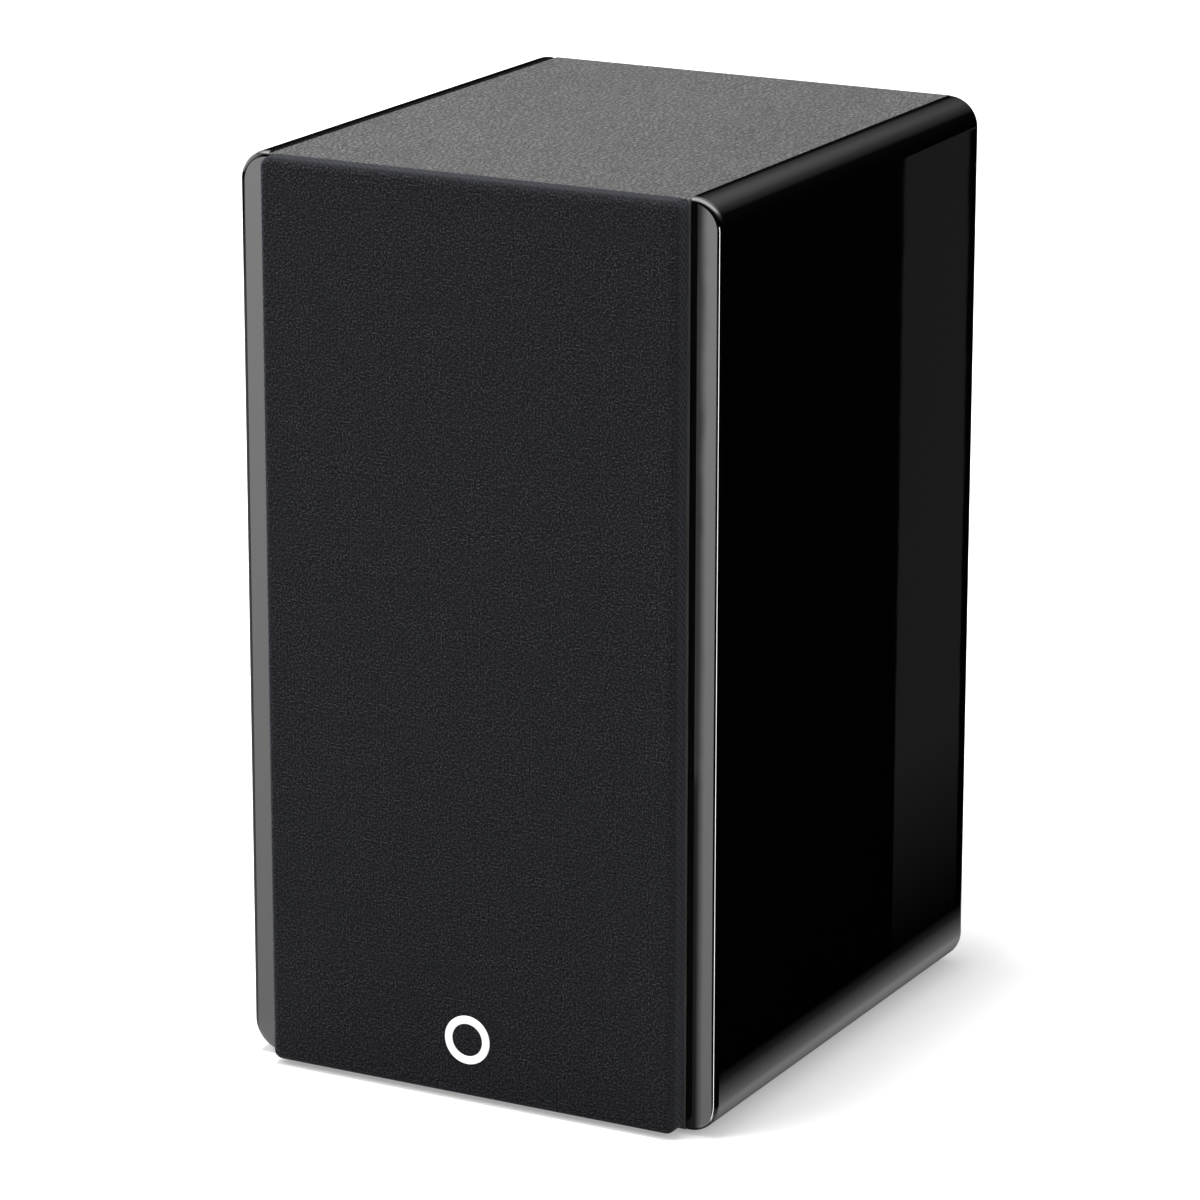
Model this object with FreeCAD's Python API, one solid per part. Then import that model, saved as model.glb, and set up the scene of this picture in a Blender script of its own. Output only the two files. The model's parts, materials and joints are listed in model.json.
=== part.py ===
"""Two-way bookshelf speaker: cabinet, removable cloth grille, woofer, tweeter, port, crossover, terminals.

Millimetres. X runs to the right seen from the front, the front faces -Y, Z is up.
The origin lies on the shelf, under the middle of the whole speaker.
"""
import FreeCAD
import Part
import math
import os

# ---- cabinet -------------------------------------------------------------
OVERALL_WIDTH = 220.0
OVERALL_HEIGHT = 390.0
CABINET_DEPTH = 245.0
SHELF_GAP = 1.5
SIDE_THICKNESS = 14.0
SIDE_ROUNDING = 13.0
SIDE_FRONT_RADIUS = 2.5
SIDE_REAR_RADIUS = 5.0
PANEL_THICKNESS = 18.0
PANEL_SET_BACK = 0.6
COVERING_THICKNESS = 1.2
COVERING_SEAM = 0.3
COVERING_FRONT_RADIUS = 1.0

BRACE_THICKNESS = 12.0
BRACE_BOTTOM = 236.0
BRACE_RIM = 22.0
BRACE_SIDE_RIM = 34.0
BRACE_CORNER_RADIUS = 15.0

WADDING_THICKNESS = 30.0
WADDING_DEPTH = 150.0
WADDING_HEIGHT = 106.0
WADDING_BOTTOM = 256.0
WADDING_CORNER_RADIUS = 8.0
SOFT_CLEARANCE = 0.3

FOOT_RADIUS = 9.0
FOOT_EDGE_CHAMFER = 0.6
FOOT_SIDE_INSET = 30.0
FOOT_END_INSET = 26.0

# ---- grille --------------------------------------------------------------
GRILLE_STEP_IN = 15.0
GRILLE_FACE_PROUD = 10.5
GRILLE_END_INSET = 0.5
GRILLE_STAND_OFF = 0.5
GRILLE_CORNER_RADIUS = 3.5
GRILLE_EDGE_RADIUS = 4.5
CLOTH_THICKNESS = 0.8
FRAME_BAR_WIDTH = 13.0
FRAME_FOOT_BAR = 62.0
FRAME_CROSS_BAR = 13.0
FRAME_CROSS_BOTTOM = 241.0
FRAME_TOP_BAR = 16.0
FRAME_WINDOW_RADIUS = 8.0
FRAME_RELIEF_FIT = 2.0
FRAME_RELIEF_DEPTH = 3.4

PEG_RADIUS = 3.0
PEG_LENGTH = 10.5
PEG_COLLAR_RADIUS = 5.2
PEG_SIDE_INSET = 11.0
PEG_LEVELS = (25.0, 247.5, 366.0)
PEG_FIT = 0.05
SOCKET_RADIUS = 5.5
SOCKET_DEPTH = 13.0
SOCKET_FLOOR = 1.5
SEAT_FIT = 0.02

BADGE_RADIUS = 10.5
BADGE_STROKE = 3.4
BADGE_THICKNESS = 0.8
BADGE_HEIGHT = 27.5
BADGE_PIN_RADIUS = 1.0
BADGE_PIN_LENGTH = 6.0
BADGE_PIN_FIT = 0.05

# ---- woofer --------------------------------------------------------------
WOOFER_HEIGHT = 155.0
BASKET_FLANGE_RADIUS = 84.0
BASKET_FLANGE_DEPTH = 5.0
BASKET_FLANGE_FIT = 0.5
BASKET_NECK_RADIUS = 71.0
BASKET_WALL = 2.5
BASKET_NECK_DEPTH = 14.0
BASKET_REAR_RADIUS = 50.0
BASKET_REAR_DEPTH = 52.0
BASKET_PLATE_DEPTH = 60.5
BASKET_PLATE_BORE = 20.0
BASKET_WINDOWS = 6
BASKET_WINDOW_WIDTH = 38.0
BASKET_WINDOW_START = 19.0
BASKET_WINDOW_END = 43.0
WOOFER_HOLE_FIT = 0.8

TRIM_INNER_RADIUS = 71.0
TRIM_THICKNESS = 2.5
TRIM_PROUD = 1.0
SURROUND_LIP_RADIUS = 75.0
SURROUND_OUTER_RADIUS = 70.0
SURROUND_INNER_RADIUS = 60.0
SURROUND_BOND_RADIUS = 57.0
SURROUND_SKIN = 0.6
SURROUND_SEAT_DEPTH = 1.5

CONE_FLANGE = 0.8
CONE_SKIN = 1.1
CONE_NECK_RADIUS = 16.0
CONE_NECK_DEPTH = 33.0
DUST_CAP_RADIUS = 20.0
DUST_CAP_RISE = 6.8
DUST_CAP_SKIN = 0.7
DUST_CAP_SEAT_GAP = 0.1

FORMER_RADIUS = 15.9
FORMER_WALL = 0.4
FORMER_START = 32.0
COIL_BUILD = 1.0
COIL_START = 56.0
COIL_LENGTH = 15.0
BOND_GAP = 0.02

SPIDER_DEPTH = 46.0
SPIDER_SKIN = 0.8
SPIDER_SHELF_RADIUS = 44.0
SPIDER_OUTER_RADIUS = 50.0
SPIDER_WAVE_START = 18.5
SPIDER_WAVES = 4
SPIDER_WAVE_HEIGHT = 1.4

TOP_PLATE_RADIUS = 40.0
TOP_PLATE_THICKNESS = 6.0
AIR_GAP = 0.4
MAGNET_RADIUS = 42.0
MAGNET_BORE = 22.0
MAGNET_THICKNESS = 18.0
BACK_PLATE_THICKNESS = 6.0
POLE_VENT_RADIUS = 5.0

WOOFER_SCREWS = 6
WOOFER_SCREW_CIRCLE = 79.5
WOOFER_SCREW_SHANK = 1.9
WOOFER_SCREW_HEAD = 3.6
WOOFER_SCREW_HEAD_HEIGHT = 1.8
WOOFER_SCREW_REACH = 16.0

WOOFER_TAB_SPACING = 5.0
WOOFER_TAB_RISE = 45.5
TAB_STRIP_DEPTH = 2.0
TAB_LENGTH = 9.0
TAB_WIDTH = 2.8
TAB_THICKNESS = 0.8

# ---- tweeter -------------------------------------------------------------
TWEETER_HEIGHT = 305.0
TWEETER_PLATE_RADIUS = 52.0
TWEETER_PLATE_DEPTH = 4.0
TWEETER_PLATE_FIT = 0.4
TWEETER_HOLE_RADIUS = 32.0
WAVEGUIDE_RADIUS = 36.0
WAVEGUIDE_DEPTH = 2.4
WAVEGUIDE_THROAT = 16.6
TWEETER_LIP_RADIUS = 19.0
TWEETER_LIP_DEPTH = 3.4
TWEETER_SKIN = 0.55
DOME_RADIUS = 13.0
DOME_RISE = 4.6
DOME_SKIN = 0.5
DOME_BOND_GAP = 0.05
TWEETER_ROLL_INNER = 13.3
TWEETER_ROLL_OUTER = 16.4
TWEETER_FORMER_RADIUS = 12.75
TWEETER_FORMER_WALL = 0.3
TWEETER_FORMER_END = 10.0
TWEETER_COIL_BUILD = 0.4
TWEETER_COIL_START = 5.0
TWEETER_COIL_LENGTH = 4.5
TWEETER_MOTOR_RADIUS = 30.0
TWEETER_TOP_PLATE = 4.0
TWEETER_MAGNET = 9.0
TWEETER_MAGNET_BORE = 16.0
TWEETER_BACK_PLATE = 4.0
TWEETER_POLE_START = 4.6
CHAMBER_RADIUS = 21.5
CHAMBER_DEPTH = 12.0
CHAMBER_ROUNDING = 3.0
GUARD_RADIUS = 20.5
GUARD_RIM = 2.0
GUARD_RISE = 4.6
GUARD_SEAT = 1.9
GUARD_RIM_THICKNESS = 0.9
GUARD_SKIN = 0.6
GUARD_BARS = 3
GUARD_BAR_WIDTH = 1.7
GUARD_RING_RADIUS = 10.4
TWEETER_SCREWS = 4
TWEETER_SCREW_CIRCLE = 45.0
TWEETER_SCREW_SHANK = 1.6
TWEETER_SCREW_HEAD = 3.2
TWEETER_SCREW_HEAD_HEIGHT = 1.5
TWEETER_SCREW_RECESS = 1.8
TWEETER_SCREW_REACH = 15.0
TWEETER_TAB_SPACING = 10.0
TWEETER_TAB_DROP = 24.5

# ---- reflex port ---------------------------------------------------------
PORT_HEIGHT = 300.0
PORT_RADIUS = 24.0
PORT_WALL = 2.5
PORT_LENGTH = 135.0
PORT_FLARE_RADIUS = 16.0
PORT_FLANGE_RADIUS = 46.0
PORT_FLANGE_THICKNESS = 2.0
PORT_HOLE_MOUTH = 36.0
PORT_HOLE_RADIUS = 27.0

# ---- terminals -----------------------------------------------------------
TERMINAL_HEIGHT = 100.0
CUP_FLANGE_WIDTH = 96.0
CUP_FLANGE_HEIGHT = 76.0
CUP_FLANGE_CORNER = 8.0
CUP_FLANGE_THICKNESS = 1.7
CUP_GASKET_THICKNESS = 0.8
CUP_WIDTH = 82.4
CUP_HEIGHT = 62.4
CUP_CORNER = 6.0
CUP_WALL = 2.2
CUP_RECESS = 30.0
CUP_FLOOR = 3.0
CUP_HOLE_FIT = 0.4
CUP_SCREW_X = 42.5
CUP_SCREW_Z = 32.5
CUP_SCREW_SHANK = 1.6
CUP_SCREW_HEAD = 3.1
CUP_SCREW_HEAD_HEIGHT = 1.6
CUP_SCREW_REACH = 14.0

POST_SPACING = 30.0
POST_RADIUS = 3.2
POST_BORE_RADIUS = 2.0
POST_BORE_DEPTH = 16.0
POST_REAR_LENGTH = 25.5
POST_INNER_LENGTH = 9.0
POST_FLANGE_RADIUS = 7.0
POST_FLANGE_THICKNESS = 1.5
POST_WIRE_HOLE_RADIUS = 1.5
POST_WIRE_HOLE_OFFSET = 6.6
COLLAR_RADIUS = 9.0
COLLAR_THICKNESS = 3.0
POST_HOLE_FIT = 0.1
NUT_RADIUS = 5.6
NUT_THICKNESS = 3.5
KNOB_RADIUS = 8.2
KNOB_LENGTH = 21.5
KNOB_CHAMFER = 1.0
KNOB_FLUTES = 12
KNOB_FLUTE_RADIUS = 1.2
KNOB_FLUTE_CIRCLE = 8.8
KNOB_FLUTE_START = 3.0
KNOB_FIT = 0.06
KNOB_GAP = 0.1
WASHER_RADIUS = 7.0
WASHER_THICKNESS = 0.8

# ---- crossover and leads -------------------------------------------------
BOARD_WIDTH = 130.0
BOARD_DEPTH = 84.0
BOARD_THICKNESS = 1.6
BOARD_REAR_GAP = 22.0
BOARD_STAND_OFF = 6.0
SPACER_RADIUS = 3.5
SPACER_INSET = 6.0
BOARD_SCREW_SHANK = 1.5
BOARD_SCREW_HEAD = 2.8
BOARD_SCREW_HEAD_HEIGHT = 1.6
BOARD_SCREW_REACH = 8.0
INDUCTOR_RADIUS = 17.0
INDUCTOR_BORE = 8.0
INDUCTOR_HEIGHT = 20.0
INDUCTOR_X = 43.0
INDUCTOR_SET_BACK = 24.0
CAPACITOR_RADIUS = 8.0
CAPACITOR_LENGTH = 34.0
CAPACITOR_X = 36.5
CAPACITOR_ROWS = (54.0, 73.0)
CAPACITOR_BED = 0.3
RESISTOR_LENGTH = 36.0
RESISTOR_WIDTH = 9.0
RESISTOR_X = 12.0
RESISTOR_SET_BACK = 38.0
BLOCK_WIDTH = 30.0
BLOCK_DEPTH = 8.0
BLOCK_HEIGHT = 10.0
BLOCK_WIRE_HEIGHT = 5.0
LEAD_RADIUS = 1.0
LEAD_BEND = 14.0
INPUT_LEAD_RUN = 15.0
WOOFER_LEAD_SET_OFF = 18.0
TWEETER_LEAD_SET_OFF = 24.0

# ---- derived places ------------------------------------------------------
REAR_PROUD = CUP_GASKET_THICKNESS + CUP_FLANGE_THICKNESS
FRONT_PROUD = GRILLE_FACE_PROUD + BADGE_THICKNESS
BACK_PROUD = REAR_PROUD + CUP_SCREW_HEAD_HEIGHT
OVERALL_DEPTH = FRONT_PROUD + CABINET_DEPTH + BACK_PROUD
FRONT = FRONT_PROUD - OVERALL_DEPTH / 2
REAR = FRONT + CABINET_DEPTH
BOTTOM = SHELF_GAP
HALF_WIDTH = OVERALL_WIDTH / 2
INNER_HALF = HALF_WIDTH - SIDE_THICKNESS
PANEL_BOTTOM = BOTTOM + PANEL_SET_BACK
PANEL_TOP = OVERALL_HEIGHT - PANEL_SET_BACK - COVERING_THICKNESS
INNER_FRONT = FRONT + PANEL_THICKNESS
INNER_REAR = REAR - PANEL_THICKNESS
FLOOR_INSIDE = PANEL_BOTTOM + PANEL_THICKNESS
CUP_FACE = REAR + REAR_PROUD - CUP_RECESS
COLLAR_TOP = CUP_FACE + COLLAR_THICKNESS
POST_SEAT = COLLAR_TOP + POST_FLANGE_THICKNESS
KNOB_START = POST_SEAT + WASHER_THICKNESS + 2 * KNOB_GAP
POST_END = CUP_FACE + POST_REAR_LENGTH
BOARD_FRONT = INNER_REAR - BOARD_REAR_GAP - BOARD_DEPTH
BOARD_BOTTOM = FLOOR_INSIDE + BOARD_STAND_OFF
BOARD_TOP = BOARD_BOTTOM + BOARD_THICKNESS
Y_AXIS = FreeCAD.Vector(0, 1, 0)


# ---- small helpers -------------------------------------------------------
def box(x0, x1, y0, y1, z0, z1):
    """A block between two corners."""
    return Part.makeBox(x1 - x0, y1 - y0, z1 - z0, FreeCAD.Vector(x0, y0, z0))


def rod(radius, y0, y1, x, z):
    """A round bar along Y."""
    return Part.makeCylinder(radius, y1 - y0, FreeCAD.Vector(x, y0, z), Y_AXIS)


def upright(radius, z0, z1, x, y):
    """A round bar along Z."""
    return Part.makeCylinder(radius, z1 - z0, FreeCAD.Vector(x, y, z0))


def ring(outer, inner, y0, y1, x, z):
    """A ring about a line along Y."""
    return rod(outer, y0, y1, x, z).cut(rod(inner, y0 - 1, y1 + 1, x, z))


def edge_chain(steps, x, z):
    """Edges of a half section; a step is (radius, y), or (middle, end) for an arc."""
    def place(p):
        return FreeCAD.Vector(x + p[0], p[1], z)

    edges = []
    here = steps[0]
    for step in steps[1:] + [steps[0]]:
        if isinstance(step[0], tuple):
            edges.append(Part.Arc(place(here), place(step[0]), place(step[1])).toShape())
            here = step[1]
        elif step != here:
            edges.append(Part.makeLine(place(here), place(step)))
            here = step
    return edges


def turned(steps, x, z):
    """A solid turned about the line along Y through (x, z)."""
    face = Part.Face(Part.Wire(edge_chain(steps, x, z)))
    solid = face.revolve(FreeCAD.Vector(x, 0, z), Y_AXIS, 360)
    if solid.Volume < 0:
        solid.reverse()
    return solid


def slab(width, height, corner, y0, y1, x, z):
    """A plate in the XZ plane with rounded corners."""
    plate = box(x - width / 2, x + width / 2, y0, y1, z - height / 2, z + height / 2)
    corners = [e for e in plate.Edges if abs(e.tangentAt(e.FirstParameter).y) > 0.99]
    return plate.makeFillet(corner, corners)


def around(count, circle, x, z, first=0.0):
    """Evenly spaced points on a circle, as (x, z) pairs."""
    turns = [math.radians(first + 360.0 * i / count) for i in range(count)]
    return [(x + circle * math.cos(a), z + circle * math.sin(a)) for a in turns]


def drilled(solid, points, radius, y0, y1):
    """The solid with a round hole along Y at each point."""
    for x, z in points:
        solid = solid.cut(rod(radius, y0, y1, x, z))
    return solid


def screw(x, z, seat, reach, shank, head, height, way):
    """A pan head screw; way is 1 when it is driven towards +Y and -1 towards -Y."""
    lo, hi = sorted((seat, seat + way * reach))
    top, bottom = sorted((seat, seat - way * height))
    body = rod(shank, lo, hi, x, z).fuse(rod(head, top, bottom, x, z))
    slot = shank * 0.6
    face = seat - way * height
    deep = sorted((face, face + way * height * 0.5))
    cross = box(x - head * 0.6, x + head * 0.6, deep[0], deep[1], z - slot / 2, z + slot / 2)
    cross = cross.fuse(box(x - slot / 2, x + slot / 2, deep[0], deep[1], z - head * 0.6, z + head * 0.6))
    return body.cut(cross).removeSplitter()


def lead(points, bend):
    """An insulated wire along straight runs joined by arcs of one bend radius."""
    here = points[0]
    edges = []
    for before, corner, after in zip(points, points[1:], points[2:]):
        a = (before - corner).normalize()
        b = (after - corner).normalize()
        half = a.getAngle(b) / 2
        reach = bend / math.tan(half)
        start = corner + a * reach
        end = corner + b * reach
        middle_way = (a + b).normalize()
        middle = corner + middle_way * (bend / math.sin(half) - bend)
        edges.append(Part.makeLine(here, start))
        edges.append(Part.Arc(start, middle, end).toShape())
        here = end
    edges.append(Part.makeLine(here, points[-1]))
    path = Part.Wire(edges)
    way = (points[1] - points[0]).normalize()
    section = Part.Wire(Part.makeCircle(LEAD_RADIUS, points[0], way))
    wire = path.makePipeShell([section], True, False)
    print("lead, bend %.1f, volume over section times length %.4f" % (
        bend, wire.Volume / (math.pi * LEAD_RADIUS ** 2 * path.Length)))
    return wire


# ---- cabinet -------------------------------------------------------------
def side_panel(side):
    """One lacquered cheek, with its long outer edges rounded top and bottom."""
    lo, hi = sorted((side * INNER_HALF, side * HALF_WIDTH))
    panel = box(lo, hi, FRONT, REAR, BOTTOM, OVERALL_HEIGHT)
    long_edges = [
        e for e in panel.Edges
        if abs(e.tangentAt(e.FirstParameter).y) > 0.99
        and abs(e.CenterOfMass.x - side * HALF_WIDTH) < 0.01
    ]
    panel = panel.makeFillet(SIDE_ROUNDING, long_edges)
    panel = rounded_end(panel, side, FRONT, SIDE_FRONT_RADIUS)
    return rounded_end(panel, side, REAR, SIDE_REAR_RADIUS)


def rounded_end(panel, side, level, radius):
    """Round the outer edges of a cheek's front or rear face."""
    outline = [
        e for e in panel.Edges
        if abs(e.BoundBox.YMin - level) < 0.01 and abs(e.BoundBox.YMax - level) < 0.01
        and abs(e.CenterOfMass.x - side * INNER_HALF) > 0.2
    ]
    return panel.makeFillet(radius, outline)


def level_panel(z0):
    """Top or bottom panel, between the cheeks and between the baffle and the rear panel."""
    return box(-INNER_HALF, INNER_HALF, INNER_FRONT, INNER_REAR, z0, z0 + PANEL_THICKNESS)


def top_covering():
    """Grained leathercloth over the top, with a softened front edge and a fine seam at each cheek."""
    half = INNER_HALF - COVERING_SEAM
    sheet = box(-half, half, FRONT, REAR, PANEL_TOP, PANEL_TOP + COVERING_THICKNESS)
    top = PANEL_TOP + COVERING_THICKNESS
    edge = [
        e for e in sheet.Edges
        if abs(e.CenterOfMass.y - FRONT) < 0.01 and abs(e.CenterOfMass.z - top) < 0.01
    ]
    return sheet.makeFillet(COVERING_FRONT_RADIUS, edge)


def front_baffle():
    """Baffle with recessed seats for both drivers and holes for the grille sockets and screws."""
    panel = box(-INNER_HALF, INNER_HALF, FRONT, INNER_FRONT, PANEL_BOTTOM, PANEL_TOP)
    seat = BASKET_FLANGE_RADIUS + BASKET_FLANGE_FIT
    panel = panel.cut(rod(seat, FRONT - 1, FRONT + BASKET_FLANGE_DEPTH, 0, WOOFER_HEIGHT))
    hole = BASKET_NECK_RADIUS + WOOFER_HOLE_FIT
    panel = panel.cut(rod(hole, FRONT - 1, INNER_FRONT + 1, 0, WOOFER_HEIGHT))
    seat = TWEETER_PLATE_RADIUS + TWEETER_PLATE_FIT
    panel = panel.cut(rod(seat, FRONT - 1, FRONT + TWEETER_PLATE_DEPTH, 0, TWEETER_HEIGHT))
    panel = panel.cut(rod(TWEETER_HOLE_RADIUS, FRONT - 1, INNER_FRONT + 1, 0, TWEETER_HEIGHT))
    panel = drilled(panel, peg_points(), SOCKET_RADIUS + SEAT_FIT, FRONT - 1, FRONT + SOCKET_DEPTH)
    panel = drilled(panel, woofer_screw_points(), WOOFER_SCREW_SHANK + SEAT_FIT,
                    FRONT, FRONT + WOOFER_SCREW_REACH)
    return drilled(panel, tweeter_screw_points(), TWEETER_SCREW_SHANK + SEAT_FIT,
                   FRONT, FRONT + TWEETER_SCREW_REACH)


def rear_panel():
    """Rear panel with the flared port hole and the terminal cut-out."""
    panel = box(-INNER_HALF, INNER_HALF, INNER_REAR, REAR, PANEL_BOTTOM, PANEL_TOP)
    cone_end = REAR - PORT_FLARE_RADIUS + PORT_FLANGE_THICKNESS
    hole = turned([(0, REAR + 1), (PORT_HOLE_MOUTH, REAR + 1), (PORT_HOLE_MOUTH, REAR),
                   (PORT_HOLE_RADIUS, cone_end), (PORT_HOLE_RADIUS, INNER_REAR - 1),
                   (0, INNER_REAR - 1)], 0, PORT_HEIGHT)
    panel = panel.cut(hole)
    width = CUP_WIDTH + 2 * CUP_HOLE_FIT
    height = CUP_HEIGHT + 2 * CUP_HOLE_FIT
    panel = panel.cut(slab(width, height, CUP_CORNER, INNER_REAR - 1, REAR + 1, 0, TERMINAL_HEIGHT))
    return drilled(panel, cup_screw_points(), CUP_SCREW_SHANK + SEAT_FIT,
                   REAR + REAR_PROUD - CUP_SCREW_REACH, REAR + 1)


def internal_brace():
    """Window brace that ties all four walls together between the drivers."""
    brace = box(-INNER_HALF, INNER_HALF, INNER_FRONT, INNER_REAR,
                BRACE_BOTTOM, BRACE_BOTTOM + BRACE_THICKNESS)
    window = box(-INNER_HALF + BRACE_SIDE_RIM, INNER_HALF - BRACE_SIDE_RIM,
                 INNER_FRONT + BRACE_RIM, INNER_REAR - BRACE_RIM,
                 BRACE_BOTTOM - 1, BRACE_BOTTOM + BRACE_THICKNESS + 1)
    corners = [e for e in window.Edges if abs(e.tangentAt(e.FirstParameter).z) > 0.99]
    return brace.cut(window.makeFillet(BRACE_CORNER_RADIUS, corners))


def wadding(side):
    """A soft fibre pad against one cheek in the upper chamber."""
    wall = side * (INNER_HALF - SOFT_CLEARANCE)
    lo, hi = sorted((wall, wall - side * WADDING_THICKNESS))
    middle = (INNER_FRONT + INNER_REAR) / 2
    pad = box(lo, hi, middle - WADDING_DEPTH / 2, middle + WADDING_DEPTH / 2,
              WADDING_BOTTOM, WADDING_BOTTOM + WADDING_HEIGHT)
    return pad.makeFillet(WADDING_CORNER_RADIUS, pad.Edges)


def rubber_feet():
    """Four low round pads under the bottom panel."""
    feet = []
    for side in (-1, 1):
        for y in (FRONT + FOOT_END_INSET, REAR - FOOT_END_INSET):
            foot = upright(FOOT_RADIUS, 0, PANEL_BOTTOM, side * (HALF_WIDTH - FOOT_SIDE_INSET), y)
            rim = [e for e in foot.Edges if e.BoundBox.ZMax < 0.01]
            feet.append(foot.makeChamfer(FOOT_EDGE_CHAMFER, rim))
    return Part.makeCompound(feet)


# ---- grille --------------------------------------------------------------
def peg_points():
    """Centres of the grille pegs."""
    reach = HALF_WIDTH - GRILLE_STEP_IN - PEG_SIDE_INSET
    return [(side * reach, z) for z in PEG_LEVELS for side in (-1, 1)]


def badge_pin_points():
    """Centres of the two badge pins."""
    middle = BADGE_RADIUS - BADGE_STROKE / 2
    return [(-middle, BADGE_HEIGHT), (middle, BADGE_HEIGHT)]


def grille_block(inset):
    """The grille's outer body, made smaller all round by the inset except at its back."""
    half = HALF_WIDTH - GRILLE_STEP_IN - inset
    front = FRONT - GRILLE_FACE_PROUD + inset
    body = box(-half, half, front, FRONT - GRILLE_STAND_OFF,
               BOTTOM + GRILLE_END_INSET + inset, OVERALL_HEIGHT - GRILLE_END_INSET - inset)
    corners = [e for e in body.Edges if abs(e.tangentAt(e.FirstParameter).y) > 0.99]
    body = body.makeFillet(GRILLE_CORNER_RADIUS - inset, corners)
    edges = [e for e in body.Edges if e.BoundBox.YMax < front + 0.01]
    return body.makeFillet(GRILLE_EDGE_RADIUS - inset, edges)


def frame_window(z0, z1):
    """One opening in the grille frame."""
    half = HALF_WIDTH - GRILLE_STEP_IN - FRAME_BAR_WIDTH
    return slab(2 * half, z1 - z0, FRAME_WINDOW_RADIUS, FRONT - FRONT_PROUD, FRONT + 1,
                0, (z0 + z1) / 2)


def grille_frame():
    """Moulded frame with a window in front of each driver and a relief behind for the woofer's trim ring."""
    frame = grille_block(CLOTH_THICKNESS)
    frame = frame.cut(frame_window(BOTTOM + FRAME_FOOT_BAR, FRAME_CROSS_BOTTOM))
    frame = frame.cut(frame_window(FRAME_CROSS_BOTTOM + FRAME_CROSS_BAR,
                                   OVERALL_HEIGHT - FRAME_TOP_BAR))
    relief = BASKET_FLANGE_RADIUS + FRAME_RELIEF_FIT
    frame = frame.cut(rod(relief, FRONT - FRAME_RELIEF_DEPTH, FRONT + 1, 0, WOOFER_HEIGHT))
    return drilled(frame, badge_pin_points(), BADGE_PIN_RADIUS + BADGE_PIN_FIT,
                   FRONT - FRONT_PROUD, FRONT - GRILLE_FACE_PROUD + BADGE_PIN_LENGTH + 0.2)


def grille_cloth():
    """Acoustic cloth stretched over the frame and down its sides."""
    cloth = grille_block(0).cut(grille_block(CLOTH_THICKNESS))
    return drilled(cloth, badge_pin_points(), BADGE_PIN_RADIUS + BADGE_PIN_FIT,
                   FRONT - FRONT_PROUD, FRONT - GRILLE_STAND_OFF)


def grille_pegs():
    """Push pegs on the back of the frame."""
    pegs = []
    for x, z in peg_points():
        collar = rod(PEG_COLLAR_RADIUS, FRONT - GRILLE_STAND_OFF, FRONT, x, z)
        peg = rod(PEG_RADIUS, FRONT, FRONT + PEG_LENGTH, x, z)
        tip = [e for e in peg.Edges if e.BoundBox.YMin > FRONT + PEG_LENGTH - 0.01]
        pegs.append(collar.fuse(peg.makeChamfer(PEG_RADIUS * 0.3, tip)))
    return Part.makeCompound(pegs)


def grille_sockets():
    """Blind sockets set in the baffle, flush with its face."""
    sockets = []
    for x, z in peg_points():
        socket = rod(SOCKET_RADIUS, FRONT, FRONT + SOCKET_DEPTH, x, z)
        hole = rod(PEG_RADIUS + PEG_FIT, FRONT - 1, FRONT + SOCKET_DEPTH - SOCKET_FLOOR, x, z)
        sockets.append(socket.cut(hole))
    return Part.makeCompound(sockets)


def badge():
    """Plain ring badge with two pins that hold it through the cloth."""
    face = FRONT - GRILLE_FACE_PROUD
    body = ring(BADGE_RADIUS, BADGE_RADIUS - BADGE_STROKE, face - BADGE_THICKNESS, face,
                0, BADGE_HEIGHT)
    for x, z in badge_pin_points():
        body = body.fuse(rod(BADGE_PIN_RADIUS, face - BADGE_THICKNESS / 2, face + BADGE_PIN_LENGTH, x, z))
    return body.removeSplitter()


# ---- woofer --------------------------------------------------------------
def woofer_turned(steps):
    """Turn a woofer section given as (radius, depth behind the baffle face)."""
    def deep(p):
        return (p[0], p[1] + FRONT)

    placed = [(deep(s[0]), deep(s[1])) if isinstance(s[0], tuple) else deep(s) for s in steps]
    return turned(placed, 0, WOOFER_HEIGHT)


def woofer_ring(outer, inner, d0, d1):
    """A ring on the woofer's axis."""
    return ring(outer, inner, FRONT + d0, FRONT + d1, 0, WOOFER_HEIGHT)


def woofer_screw_points():
    """Centres of the woofer screws."""
    return around(WOOFER_SCREWS, WOOFER_SCREW_CIRCLE, 0, WOOFER_HEIGHT, 90.0)


def basket_inner_radius(depth):
    """Inside radius of the basket's sloping wall at a depth."""
    run = (depth - BASKET_NECK_DEPTH) / (BASKET_REAR_DEPTH - BASKET_NECK_DEPTH)
    return BASKET_NECK_RADIUS - BASKET_WALL + run * (BASKET_REAR_RADIUS - BASKET_NECK_RADIUS)


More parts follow.
